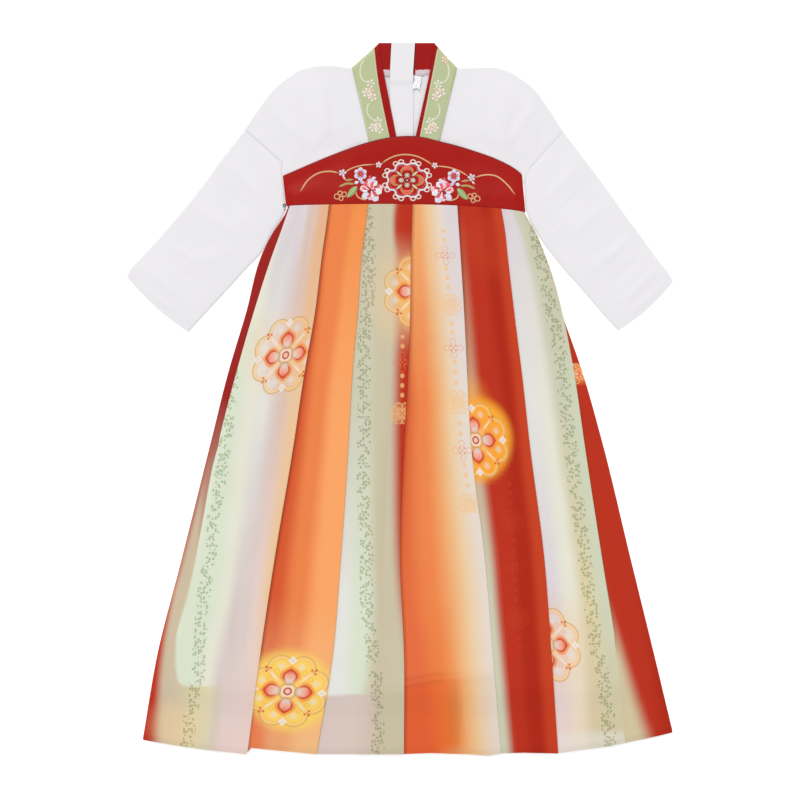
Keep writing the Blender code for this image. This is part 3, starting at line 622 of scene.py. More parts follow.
# The dark line beside a fold, painted shadow under the fold's edge together with the print's own dark edge:
# panel, dye, and the drops between which it fades
foldShadowLines = {2: ("brown", 720, 800), 4: ("rust", 720, 800), 5: ("brown", 120, 240), 7: ("rust", 540, 600)}
foldShadowWidth = (1.0, 5.5)
foldShadowStrength = 0.5

# The printed medallions: panel, centre, how far their two axes lean in degrees, and their stretch
medallions = [
    (1, (-148.0, 58.0), (9, -7), (0.92, 1.07)), (3, (25.4, 140.6), (0, 0), (1.0, 1.0)),
    (5, (98.2, -52.0), (0, 7.5), (0.88, 1.06)), (2, (-145.5, -377.0), (-4, -10), (1.12, 1.02)),
    (6, (190.5, -317.5), (0, 6), (0.92, 1.05)), (7, (224, 34), (0, 0), (0.34, 0.3)),
]
# Columns of small motifs: panel, their line as (drop, X), the drops of their cross flowers,
# the stretch in repeats, ink and its strength
columns = [
    (4, [(30, 56), (65, 58.4), (129, 65), (185, 69.3), (257, 75.1), (318, 80.6), (387, 91)],
     (65, 184.6, 317.7), (-0.3, 2.62), "flax", 0.75),
    (3, [(160, 3.5), (280, 2.5)], (77, 203, 329), (0.68, 1.65), "dots", 0.75),
    (5, [(340, 140), (390, 143.5), (430, 147), (505, 149.5), (580, 156)], (343, 469, 595), (0.08, 1.9),
     "ember", 0.12),
]
# Bands of speckles: panel, the band's middle as (drop, X), and half its width
speckleBands = [
    (1, [(230, -218), (271, -222), (330, -229), (370, -235), (408, -241), (448, -244.5), (515, -255),
         (568, -259), (620, -262), (660, -270), (712, -277)], 8.2),
    (3, [(0, -41.6), (122, -41.8), (160, -45), (278, -46), (360, -47.5), (435, -43.8), (512, -43.2),
         (564, -37.7), (617, -31.2), (660, -29.5), (712, -29)], 8.2),
    (6, [(0, 172), (24, 175.5), (122, 193.7), (190, 206.7), (257, 214.5), (365, 227), (474, 241),
         (528, 248), (583, 255.5), (638, 265), (712, 273)], 8.6),
]
farAway = 9.0  # metres: a point of a panel that has none of these


def printMaps(cloth, drop, y):
    # Where each point lies in its panel's medallion, motif column and speckle band.
    x = cloth["x"]
    panel = np.broadcast_to(cloth["panel"], x.shape)
    level = np.broadcast_to(drop[:, None], x.shape)
    medallion, column = np.full((*x.shape, 2), farAway), np.full((*x.shape, 2), farAway)
    ink = np.zeros((*x.shape, 4))
    speckle = np.full(x.shape, farAway)
    for where, (cx, cy), (flatLean, tallLean), stretch in medallions:
        a, b = math.radians(flatLean), math.radians(tallLean)
        axes = np.array([[math.cos(a), -math.sin(b)], [math.sin(a), math.cos(b)]]) * stretch
        local = np.stack([x - cx, y - cy], -1) @ np.linalg.inv(axes).T * mm
        medallion = np.where((panel == where)[..., None], local, medallion)
    for where, line, crosses, (start, end), name, strength in columns:
        phase = np.interp(level, crosses, (0, 1, 2))
        phase = phase + np.maximum(level - crosses[-1], 0) / (crosses[-1] - crosses[-2])
        phase = phase - np.maximum(crosses[0] - level, 0) / (crosses[1] - crosses[0])
        at = (panel == where) & (phase > start) & (phase < end)
        across = (x - np.interp(level, *zip(*line))) * mm
        column = np.where(at[..., None], np.stack([across, phase], -1), column)
        ink = np.where((panel == where)[..., None], np.r_[dye(name), strength], ink)
    for where, line, half in speckleBands:
        speckle = np.where(panel == where, (x - curve(line)(level)) / half, speckle)
    return medallion, column, ink, speckle


def frontDye(cloth, drop, y):
    # The front's stripes, the painted shadow beside its folds, the lining that shows through, and its
    # washes.
    x = cloth["x"]
    panel = np.broadcast_to(cloth["panel"], x.shape)
    level = np.broadcast_to(drop[:, None], x.shape)
    colour = np.zeros((*x.shape, 3))
    shownLeft = np.interp(level, *zip(*lining["leftShown"]))
    inside = np.minimum(x - shownLeft, curve(lining["right"])(level) - x)
    for k in range(len(panelStripes)):
        past, share = inPanel(cloth, k)
        own = stripes(k, share, level)
        # Darker beside the fold: painted shadow under the edge above, with the print's dark edge
        if k in foldShadowLines:
            name, fading, gone = foldShadowLines[k]
            foldShadow = (1 - soften(past, *foldShadowWidth)) * (1 - ramp(level, fading, gone))
            own = mix(own, dye(name), (foldShadow * foldShadowStrength)[..., None])
        # Past the white lining the sheer cloth looks deeper.
        hem = mix(lining["hemLeft"][k], lining["hemRight"][k], share.clip(0, 1))
        hem = hem - rounding(inside, lining["corner"], lining["corner"])
        covered = soften(inside, -3, 3) * soften(hem - level, -1.5, 1.5)
        turned = covered * soften(level - hem + lining["hemFold"], -1.5, 1.5)
        for where, (first, second), strength, across, down in bare:
            if where == k:
                there = (1 - covered) * window(share, *across) * window(level, *down)
                veil = mix(dye(first), dye(second), soften(share, 0, 0.35)[..., None])
                own = mix(own, veil, (strength * there)[..., None])
        for where, name, (cx, cy), (rx, ry), strength, soft in washes:
            if where == k:
                away = np.hypot((x - cx) / rx, (y - cy) / ry)
                own = mix(own, dye(name), (strength * (1 - soften(away, 1 - soft, 1 + soft)))[..., None])
        deep = mix(own, own ** 1.25, 0.7)
        own = mix(own, deep, (lining["shows"][k] * (1 - covered + 0.35 * turned))[..., None])
        # The turned-up edge of the skirt's own hem
        own = own * (1 - 0.06 * soften(level, 704, 707))[..., None]
        if k in lining["hemLines"]:
            end = lining["hemLines"][k]
            line = sum(np.exp(-(((level - hem + up) / 2) ** 2)) for up in (0, lining["hemFold"]))
            line = lining["hemLineShade"] * line * (1 - soften(share, end - 0.08, end + 0.04))
            own = own * (1 - line)[..., None]
        colour = np.where((panel == k)[..., None], own, colour)
    return colour


frontSkirt = dict(
    on=["lining_front_cloth", "skirt_back_chiffon"], flat=(1.0, 0.72), area=0.52, thickness=0.4,
    # each fold's X at the drops of the plan, the side that lies on top, its depth at waist and hem, the
    # drop by which it has opened flat, and how thick it stays where it is pressed
    folds=[
        dict(x=(-143, -153, -164, -190, -213, -236, -265, -294, -308), top="right", depth=(10, 12),
             flat=340),
        dict(x=(-92, -96, -100.5, -110.5, -124.5, -138, -163, -181, -198), top="left", depth=(14, 22),
             flat=None),
        dict(x=(-42, -45, -49, -55, -62, -67, -77, -87, -108), top="left", depth=(13, 20), flat=None),
        dict(x=(16, 15, 14, 13, 10, 5, 0, 5, 5), top="left", depth=(14, 22), flat=None),
        dict(x=(74, 76, 78, 83, 87, 92, 110, 120, 131), top="left", depth=(14, 22), flat=None,
             pressed=0.62),
        dict(x=(131, 136, 139, 148, 158, 168, 187, 196, 205), top="left", depth=(13, 20), flat=None),
        dict(x=(161, 178, 189, 211, 226, 239, 262, 281, 294), top="left", depth=(12, 14), flat=606),
    ],
    spans=(6, 20, 16, 20, 20, 14, 16, 12), rows=((0, 598, 115), (600, 660, 25), (664, 712, 11)),
    foldPitch=0.8, hemFall=(634, 662), sideFall=(12, 24, 60), ridgeHeight=1.3, creaseHeight=1.5,
    unevenness=0.35, gathers=0.22, gathered=70, lowest=-0.85, sideCurl=(3, 0.75),
    # broad ridges and narrow creases: X and drop at both ends, width and height
    ridges=[
        (-222, 430, -242, 690, 20, 2.2), (-188, 520, -205, 700, 16, 1.4), (-135, 300, -150, 680, 22, 1.6),
        (-25, 180, -40, 690, 24, 1.8), (52, 440, 78, 700, 18, 2.2), (98, 10, 122, 110, 12, 1.0),
        (140, 380, 160, 700, 20, 1.6), (168, 80, 205, 300, 18, 1.2), (262, 520, 300, 690, 22, 1.6),
    ],
    creases=[
        (-120, 0, -128, 90, 4, 0.7), (-108, 4, -112, 60, 3, -0.5), (-70, 0, -74, 70, 4, 0.6),
        (-60, 0, -60, 50, 3, -0.5), (-28, 0, -32, 90, 4, 0.6), (-8, 2, -10, 60, 3, 0.5),
        (30, 0, 31, 60, 4, 0.6), (46, 2, 50, 80, 3, -0.5), (60, 0, 64, 60, 3, 0.5), (92, 0, 98, 90, 4, 0.7),
        (112, 4, 120, 60, 3, -0.5), (143, 2, 152, 60, 3, 0.5), (-150, 180, -176, 420, 9, 0.8),
        (-176, 240, -214, 560, 7, -0.7), (-100, 120, -118, 400, 8, 0.7), (-110, 330, -128, 600, 7, -0.7),
        (-36, 90, -44, 330, 7, 0.7), (-12, 330, -18, 620, 8, -0.7), (38, 110, 46, 380, 9, 0.8),
        (62, 240, 84, 520, 7, -0.7), (25, 420, 30, 690, 9, 0.8), (112, 150, 132, 380, 7, 0.7),
        (150, 300, 168, 560, 7, -0.6), (186, 120, 214, 420, 8, -0.7), (220, 360, 240, 640, 9, 0.8),
        (240, 440, 262, 700, 7, -0.6), (-256, 380, -270, 640, 9, 0.8), (-280, 560, -290, 700, 7, 0.7),
        (-230, 610, -236, 706, 8, -0.7), (300, 560, 318, 690, 8, 0.6), (-217, 500, -229, 690, 4, 0.9),
        (-206, 560, -215, 706, 4, -0.8), (-240, 600, -245, 700, 4, 0.8),
    ],
)


def buildFrontSkirt(piece):
    drop = np.concatenate([np.linspace(*part) for part in piece["rows"]])
    cloth = pleat(piece["folds"], piece["spans"], drop, None, 0)
    x, d = cloth["x"], drop[:, None]
    y = levelY(x, d)
    base = layer["skirtFront"] - (layer["skirtFront"] - layer["liningBack"]) * ramp(d, *piece["hemFall"])
    z = base + layer["middle"] + piece["foldPitch"] * cloth["layer"]
    rightmost = np.maximum(cloth["right"], cloth["edges"][-2])[:, None]
    side = np.minimum(x - cloth["left"][:, None], rightmost - x)
    nearWaist, lower, reached = piece["sideFall"]
    width = mix(nearWaist, lower, ramp(d, 0, reached))
    settled = ramp(side, 0, width)
    z = z - (base - layer["overBack"]) * (1 - np.sin(np.pi / 2 * settled))
    calm = np.where(cloth["share"] > 0, np.sin(np.pi * cloth["share"]), 0).clip(0) ** 0.5
    level = np.broadcast_to(d, x.shape)
    wave = piece["ridgeHeight"] * creased(x, level, piece["ridges"])
    wave = wave + piece["creaseHeight"] * creased(x, level, piece["creases"])
    gathers = piece["gathers"] * np.sin(x / 2.4 + np.sin(x / 7))
    wave = wave + piece["unevenness"] * uneven(x, y, 26, 1)
    wave = wave + gathers * (1 - soften(d, 0, piece["gathered"]))
    z = z + np.maximum(wave, piece["lowest"]) * calm * settled
    # The side seams close on the back.
    z = z - rounding(side, *piece["sideCurl"])
    medallion, column, ink, speckle = printMaps(cloth, drop, y)
    sew("skirt_front", "printed chiffon", x, y, z, piece["thickness"], piece["flat"], piece["area"],
        piece["on"], maps={"medallion": medallion, "column": column},
        colours={"dye": frontDye(cloth, drop, y), "ink": ink}, values={"speckle": speckle})


backSkirt = dict(
    flat=(1.0, 0.72), area=0.53, thickness=0.4, count=7, waist=(-100, 116), hem=(-214, 232),
    depth=(12, 18), spans=(14, 16, 16, 16, 16, 16, 16, 14), rows=72, rise=14, calmSide=12,
    sideCurl=(3, 0.3), shade=0.9,
    # X and drop at both ends, width and height
    creases=[
        (-120, 60, -172, 420, 9, 0.9), (-190, 360, -228, 690, 10, 1.0), (-250, 470, -272, 700, 9, 0.9),
        (-92, 300, -126, 650, 8, 0.9), (-62, 70, -86, 380, 8, 0.9), (-34, 330, -50, 690, 9, 1.0),
        (-10, 60, -14, 360, 8, 0.9), (20, 310, 24, 680, 9, 1.0), (52, 80, 74, 400, 8, 0.9),
        (90, 300, 122, 650, 9, 1.0), (122, 80, 164, 420, 8, 0.9), (186, 380, 224, 690, 10, 1.0),
        (250, 480, 282, 700, 9, 0.9), (60, 420, 70, 700, 7, 0.8), (-158, 500, -168, 700, 7, 0.8),
    ],
)


def buildBackSkirt(piece):
    drop = np.linspace(0, skirt["length"], piece["rows"] + 1)
    folds = []
    for k in range(piece["count"]):
        share = k / (piece["count"] - 1)
        waist, hem = mix(*piece["waist"], share), mix(*piece["hem"], share)
        xs = tuple(mix(waist, hem, d / skirt["drops"][-1]) for d in skirt["drops"])
        folds.append(dict(x=xs, top="left", depth=piece["depth"], flat=None))
    cloth = pleat(folds, piece["spans"], drop, piece["rise"], 2)
    x, d = cloth["x"], drop[:, None]
    y = levelY(x, d)
    z = layer["floor"] + layer["middle"] + layer["pitch"] * (2 - cloth["layer"])
    side = np.minimum(x - cloth["left"][:, None], cloth["right"][:, None] - x)
    z = z + rounding(side, *piece["sideCurl"])
    level = np.broadcast_to(d, x.shape)
    calm = np.sin(np.pi * cloth["share"]).clip(0) ** 0.5
    z = z + creased(x, level, piece["creases"]) * calm * ramp(side, 0, piece["calmSide"])
    colour = np.zeros((*x.shape, 3))
    for k in range(len(piece["spans"])):
        own = stripes(k, inPanel(cloth, k)[1], level)
        colour = np.where((cloth["panel"] == k)[None, :, None], own, colour)
    sew("skirt_back", "striped chiffon", x, y, z, piece["thickness"], piece["flat"], piece["area"],
        colours={"dye": colour * piece["shade"]})


def buildLining(side, height, hem):
    drop = np.r_[-lining["turnUp"], np.linspace(0, hem, 40)]
    down = np.maximum(drop, 0)
    ends = [lineAt(curve(lining[edge]), down) for edge in ("left", "right")]
    x = np.linspace(*ends, 41, axis=1)
    y = levelY(x, down[:, None]) - np.minimum(drop, 0)[:, None]
    z = height + layer["middle"] + 0.12 * uneven(x, y, 30, 4)
    sew("lining_" + side, "lining", x, y, z, lining["thickness"], lining["flat"], lining["area"])


inks = dict(
    petalRim=(208, 76, 44), petalTip=(234, 104, 82), petalMid=(243, 170, 148), petalRoot=(228, 214, 200),
    halo=(246, 152, 76), ring=(190, 84, 66), heart=(246, 200, 172), pearl=(240, 230, 218),
    frame=(176, 162, 128), lobeLine=(204, 168, 100), lobeGlow=(252, 200, 132), lobePearl=(234, 226, 226),
    stroke=(246, 224, 204), cluster=(214, 88, 46), blossom=(240, 232, 228), crossInk=(234, 124, 80),
    flax=(244, 196, 138), dots=(242, 186, 124),
)
dyes.update(inks)


def within(tree, distance, size, soft):
    # 1 inside this distance and 0 outside, with a soft border.
    made = addNode(tree, "MapRange", interpolation_type="SMOOTHSTEP")
    for key, value in ((0, distance), (1, size + soft), (2, size - soft), (3, 0.0), (4, 1.0)):
        join(tree, value, made.inputs[key])
    return made.outputs[0]


def far(tree, x, y, cx=0.0, cy=0.0, rx=1.0, ry=1.0):
    # Distance from a centre, in units of an ellipse's radii.
    a = calc(tree, "DIVIDE", minus(tree, x, cx), rx)
    b = calc(tree, "DIVIDE", minus(tree, y, cy), ry)
    squares = calc(tree, "MULTIPLY_ADD", b, b, times(tree, a, a))
    return calc(tree, "SQRT", squares)


def fold(tree, x, y):
    # Folds the plane into one eighth: the larger and the smaller of |x| and |y|.
    a, b = calc(tree, "ABSOLUTE", x), calc(tree, "ABSOLUTE", y)
    return calc(tree, "MAXIMUM", a, b), calc(tree, "MINIMUM", a, b)


def ring(tree, distance, middle, half, soft):
    # 1 on a ring of this half width, with soft borders.
    return within(tree, calc(tree, "ABSOLUTE", minus(tree, distance, middle)), half, soft)


def makeMedallion():
    # A round flower of four petals in a frame of eight lobes, 46 mm in radius.
    tree, given, out = startGroup(
        "medallion", {"Place": ("Vector", None), "Base": ("Color", None)}, {"Colour": "Color"})
    flat = addNode(tree, "SeparateXYZ", {0: given["Place"]})
    x, y = (times(tree, flat.outputs[k], 1000.0) for k in (0, 1))
    r = far(tree, x, y)
    p, q = fold(tree, x, y)
    s = times(tree, calc(tree, "ADD", p, q), 0.7071)
    w = times(tree, minus(tree, p, q), 0.7071)
    colour = given["Base"]

    def paint(mask, ink, strength=1.0):
        nonlocal colour
        share = times(tree, mask, strength)
        colour = blendColour(tree, share, colour, (*dye(ink), 1) if isinstance(ink, str) else ink)

    lobe = far(tree, p, q, 30.0, 12.4)
    outside = minus(tree, 1.0, within(tree, r, 32.0, 3.0))
    paint(times(tree, ring(tree, lobe, 13.0, 1.6, 2.2), outside), "lobeGlow", 0.75)
    paint(times(tree, ring(tree, lobe, 15.2, 0.75, 0.7), outside), "lobeLine", 0.8)
    paint(times(tree, ring(tree, lobe, 10.4, 0.4, 0.7), outside), "halo", 0.4)
    paint(within(tree, far(tree, p, q, 31.5, 11.5), 3.4, 3.2), "lobePearl", 0.5)
    paint(within(tree, r, 20.0, 9.0), "lobeGlow", 0.5)
    # Small curls on both sides of each diagonal
    for along, aside, radius, half, strength in ((28.6, 5.6, 2.7, 0.45, 0.55), (21.4, 4.4, 2.0, 0.4, 0.5)):
        curl = far(tree, s, calc(tree, "ABSOLUTE", w), along, aside)
        paint(ring(tree, curl, radius, half, 0.6), "halo", strength)
    # Petals: broad towards a tip that ends in a small point, narrow at the root
    t = calc(tree, "DIVIDE", minus(tree, p, 17.4), 9.4)
    shoulder = calc(tree, "MULTIPLY_ADD", times(tree, t, t), -2.2, 8.2)
    broad = calc(tree, "MULTIPLY_ADD", t, 2.6, shoulder)
    n = calc(tree, "DIVIDE", q, calc(tree, "MAXIMUM", broad, 2.5))
    point = times(tree, minus(tree, 0.6, n), 0.34)
    bent = minus(tree, t, calc(tree, "MAXIMUM", point, 0.0))
    petal = far(tree, bent, n)
    paint(ring(tree, petal, 1.26, 0.15, 0.16), "halo", 0.95)
    tint = blendColour(tree, within(tree, t, 0.62, 0.4), (*dye("petalTip"), 1), (*dye("petalMid"), 1))
    tint = blendColour(tree, within(tree, t, -0.2, 0.5), tint, (*dye("petalRoot"), 1))
    paint(within(tree, petal, 1.0, 0.07), tint)
    outer = minus(tree, 1.0, within(tree, t, -0.5, 0.5))
    paint(times(tree, ring(tree, petal, 0.92, 0.16, 0.14), outer), "petalRim", 0.95)
    # The heart and its scalloped frame
    corner = far(tree, p, q, 4.6, 2.8)
    paint(ring(tree, corner, 5.0, 0.8, 0.8), "frame", 0.75)
    paint(within(tree, r, 7.4, 0.8), "pearl", 0.85)
    paint(within(tree, r, 5.2, 0.7), "ring", 0.95)
    paint(within(tree, r, 2.9, 0.8), "heart")
    # On the diagonals a stroke and three dots, on the axes a small white blossom
    paint(within(tree, far(tree, s, w, 26.4, 0.0, 7.2, 1.4), 1.0, 0.45), "stroke", 0.75)
    paint(within(tree, far(tree, s, w, 38.4, 0.0, 3.2, 0.6), 1.0, 0.4), "cluster", 0.7)
    for along, aside in ((41.4, 0.0), (37.2, 3.0)):
        paint(within(tree, far(tree, s, w, along, aside), 1.4, 0.7), "cluster", 0.9)
    a, b = fold(tree, minus(tree, p, 39.6), q)
    paint(within(tree, far(tree, a, b, 2.2, 0.0), 2.4, 1.2), "blossom", 0.85)
    paint(within(tree, far(tree, a, b), 0.8, 0.6), "frame", 0.7)
    join(tree, colour, out["Colour"])
    return tree


def makeColumn():
    # A column that repeats a cross flower, three dots, a scrolled blossom and two dots.
    tree, given, out = startGroup("motif column", {"Place": ("Vector", None)},
                                  {"Ink": "Float", "Accent": "Float"})
    repeat = 126.0
    early = 0.2  # a repeat starts this share before its cross flower
    flat = addNode(tree, "SeparateXYZ", {0: given["Place"]})
    across = times(tree, flat.outputs[0], 1000.0)
    phase = calc(tree, "FRACT", calc(tree, "ADD", flat.outputs[1], early))
    along = times(tree, minus(tree, phase, early), repeat)
    ink = []
    for place in (-0.165, 0.14, 0.24, 0.34, 0.735):
        ink.append(within(tree, far(tree, across, along, 0.0, place * repeat, 2.6, 3.1), 1.0, 0.35))
    # The blossom: scrolls about a cross of leaves, on a faint ground
    p, q = fold(tree, across, minus(tree, along, 0.53 * repeat))
    ink.append(times(tree, within(tree, far(tree, p, q, 5.0, 3.5), 7.6, 2.5), 0.3))
    for cx, cy, radius in ((9.5, 4.5, 4.4), (5.0, 5.0, 2.6)):
        ink.append(ring(tree, far(tree, p, q, cx, cy), radius, 0.8, 0.7))
    ink.append(within(tree, far(tree, p, q, 3.6, 0.0, 3.0, 1.6), 1.0, 0.3))
    # The cross flower: four dots and a heart, with a fainter ring about each arm
    p, q = fold(tree, across, along)
    accent = [within(tree, far(tree, p, q, 3.2, 2.9), 1.3, 0.7), within(tree, far(tree, p, q), 1.2, 0.6),
              times(tree, ring(tree, far(tree, p, q, 9.0, 0.0), 3.6, 0.45, 0.5), 0.6)]
    join(tree, largest(tree, ink), out["Ink"])
    join(tree, largest(tree, accent), out["Accent"])
    return tree


def makeSpeckles():
    # Small marks in broken zigzags along a band: Away is 0 in its middle and 1 at its edge.
    tree, given, out = startGroup("speckles", {"Vector": ("Vector", None), "Away": ("Float", 0.0)},
                                  {"Mask": "Float"})
    cells = addNode(tree, "TexVoronoi", {"Vector": given["Vector"], "Scale": 262.0, "Randomness": 0.8},
                    distance="MINKOWSKI", voronoi_dimensions="2D")
    cells.inputs["Exponent"].default_value = 3.0
    dot = within(tree, cells.outputs["Distance"], 0.4, 0.16)
    chance = addNode(tree, "SeparateColor", {0: cells.outputs["Color"]}).outputs[0]
    along = addNode(tree, "SeparateXYZ", {0: given["Vector"]}).outputs[1]
    near = []
    for period, start in ((0.021, 0.0), (0.033, 0.009)):
        turned = calc(tree, "PINGPONG", calc(tree, "ADD", along, start + 1.0), period / 2)
        path = calc(tree, "MULTIPLY_ADD", turned, 3.0 / period, -0.75)
        near.append(ring(tree, given["Away"], path, 0.34, 0.12))
    kept = calc(tree, "GREATER_THAN", calc(tree, "MULTIPLY_ADD", largest(tree, near), 0.62, chance), 0.8)
    band = calc(tree, "LESS_THAN", calc(tree, "ABSOLUTE", given["Away"]), 1.1)
    join(tree, times(tree, times(tree, dot, kept), band), out["Mask"])
    return tree


medallionPrint, columnPrint, specklePrint = makeMedallion(), makeColumn(), makeSpeckles()
speckleTint = (0.54, 0.6, 0.46, 1)


def paintPlain(tree):
    return attribute(tree, "dye")["Color"]


def paintChiffon(tree):
    # The dyed stripes, then speckles, motif column and medallion printed over them.
    place = addNode(tree, "TexCoord").outputs["Object"]
    away = attribute(tree, "speckle")["Fac"]
    specks = useGroup(tree, specklePrint, {"Vector": place, "Away": away})["Mask"]
    colour = blendColour(tree, times(tree, specks, 0.85), paintPlain(tree), speckleTint, "MULTIPLY")
    ink = attribute(tree, "ink")
    column = useGroup(tree, columnPrint, {"Place": uvMap(tree, "column")})
    colour = blendColour(tree, times(tree, column["Ink"], ink["Alpha"]), colour, ink["Color"])
    accent = times(tree, column["Accent"], calc(tree, "MINIMUM", ink["Alpha"], 0.8))
    colour = blendColour(tree, accent, colour, (*dye("crossInk"), 1))
    return useGroup(tree, medallionPrint, {"Place": uvMap(tree, "medallion"), "Base": colour})["Colour"]


makeCloth("printed chiffon", "chiffon", "printed_chiffon", "chiffon", paint=paintChiffon)
makeCloth("striped chiffon", "chiffon", "printed_chiffon", "chiffon", paint=paintPlain)
buildFrontSkirt(frontSkirt)
buildBackSkirt(backSkirt)
buildLining("back", layer["liningBack"], lining["hemBack"])
buildLining("front", layer["liningFront"], lining["hemFront"])
print("skirt made")

# Bodice

bodice = dict(
    # its edges, and puffs: where one lies across at the top and at the foot, its width and height
    left=dict(
        turn=-1, neck=(-54, 436.5),
        shoulder=[(-64, 431), (-88, 434.5), (-114, 433), (-130, 429), (-143, 421), (-156, 411),
                  (-169, 398), (-179, 385), (-190, 369), (-201, 352)],
        armhole=[(-201, 352), (-153, 309), (-152.5, 292)],
        bottom=[(-32, 330), (-42, 327), (-75, 316), (-152.5, 284)],
        puffs=[((0.42, 0.5), 0.12, 1.4), ((0.72, 0.8), 0.1, 1.0)],
    ),
    right=dict(
        turn=1, neck=(66, 436.5),
        shoulder=[(76, 431), (104, 432), (127, 431.5), (143, 426), (159, 416), (172, 406),
                  (182, 394), (192, 380), (203, 363), (211, 350)],
        armhole=[(211, 350), (170, 304), (163, 293)],
        bottom=[(43, 330), (53, 328), (100, 315), (129, 304), (161, 282)],
        puffs=[((0.4, 0.72), 0.1, 1.6), ((0.7, 0.9), 0.1, 0.8)],
    ),
    centre=3, parted=0.12, neckSeam=428, backBandTop=291, air=1.2, thickness=0.45,
    highFront=150, highBack=140, creaseFront=1.4, creaseBack=0.6,
    # curls of the top edge and of the armhole: their reach and depth
    topCurl=(2.5, 0.55), sideCurl=(2, 0.35), backCurl=(2.5, 0.3),
    flatFront=(0.16, 0.15), areaFront=0.0165, flatBack=(0.21, 0.15), areaBack=0.0245,
    # X and Y at both ends, width and height
    creases=[
        (-60, 346, -70, 322, 3, 0.6), (-84, 344, -96, 314, 3, 0.7), (-106, 338, -122, 302, 4, 0.8),
        (68, 346, 76, 324, 3, 0.6), (92, 346, 104, 316, 4, 0.7), (118, 338, 134, 304, 4, 0.8),
        (-150, 410, -128, 345, 5, 0.9), (-128, 412, -116, 350, 4, -0.7), (-108, 420, -92, 350, 6, 0.9),
        (-90, 410, -84, 345, 4, -0.5), (-168, 380, -120, 330, 5, 0.9), (-70, 400, -62, 345, 5, 0.5),
        (98, 420, 112, 345, 6, 0.9), (120, 424, 140, 345, 5, 1.0), (134, 412, 152, 350, 4, -0.7),
        (175, 385, 140, 330, 5, 0.9), (84, 410, 90, 350, 4, -0.5), (150, 400, 176, 356, 5, 0.6),
    ],
)


def bodicePlan(side, neck, bottom, across, down):
    # X and Y of one half of the bodice, and how far its points lie across and down.
    edges = bodice[side]
    top = np.vstack([neck, flow(edges["shoulder"])])
    outer = edges["armhole"][:-1] + [bottom[-1]]
    x, y = patch(top, bottom, [neck, bottom[0]], outer, across, down)
    return x, y, across[None, :], down[:, None]


def buildBodiceFront(side):
    edges = bodice[side]
    x, y, u, v = bodicePlan(side, edges["neck"], flow(edges["bottom"]), spread(44, 0.5), spread(44, 0.5))
    swell = np.sin(np.pi * v)
    puff = bodice["air"] * np.sin(np.pi * u) * swell
    for (a, b), width, height in edges["puffs"]:
        puff = puff + height * swell * np.exp(-(((u - mix(a, b, v)) / width) ** 2))
    clear = soften(u, 0.1, 0.3) * soften(1 - u, 0, 0.15) * soften(1 - v, 0.1, 0.3)
    z = layer["overBack"] + layer["middle"] + puff * clear
    z = z + bodice["creaseFront"] * creased(x, y, bodice["creases"]) * clear * swell.clip(0) ** 0.5
    high = bodice["highFront"]
    z = z - rounding(v * high, *bodice["topCurl"]) - rounding((1 - u) * high, *bodice["sideCurl"])
    sew("bodice_front_" + side, "white crepe", x, y, z, bodice["thickness"], bodice["flatFront"],
        bodice["areaFront"])


def centreBack(side):
    # The X at which this half of the back ends.
    return bodice["centre"] + bodice[side]["turn"] * bodice["parted"]


def buildBodiceBack(side):
    neck = (centreBack(side), bodice["neckSeam"] - layer["seamGap"])
    low = bodice["backBandTop"] + layer["seamGap"]
    bottom = [(neck[0], low), (bodice[side]["armhole"][-1][0], low)]
    x, y, u, v = bodicePlan(side, neck, bottom, spread(36, 0.4), spread(30, 0.4))
    calm = (np.sin(np.pi * u) * np.sin(np.pi * v)).clip(0) ** 0.5
    z = layer["middle"] + 0.12 * uneven(x, y, 14, 2)
    z = z + bodice["creaseBack"] * np.abs(creased(x, y, bodice["creases"])) * calm
    z = z + rounding(v * bodice["highBack"], *bodice["backCurl"]) * soften(u, 0.3, 0.5)
    sew("bodice_back_" + side, "white crepe", x, y, z, bodice["thickness"], bodice["flatBack"],
        bodice["areaBack"])


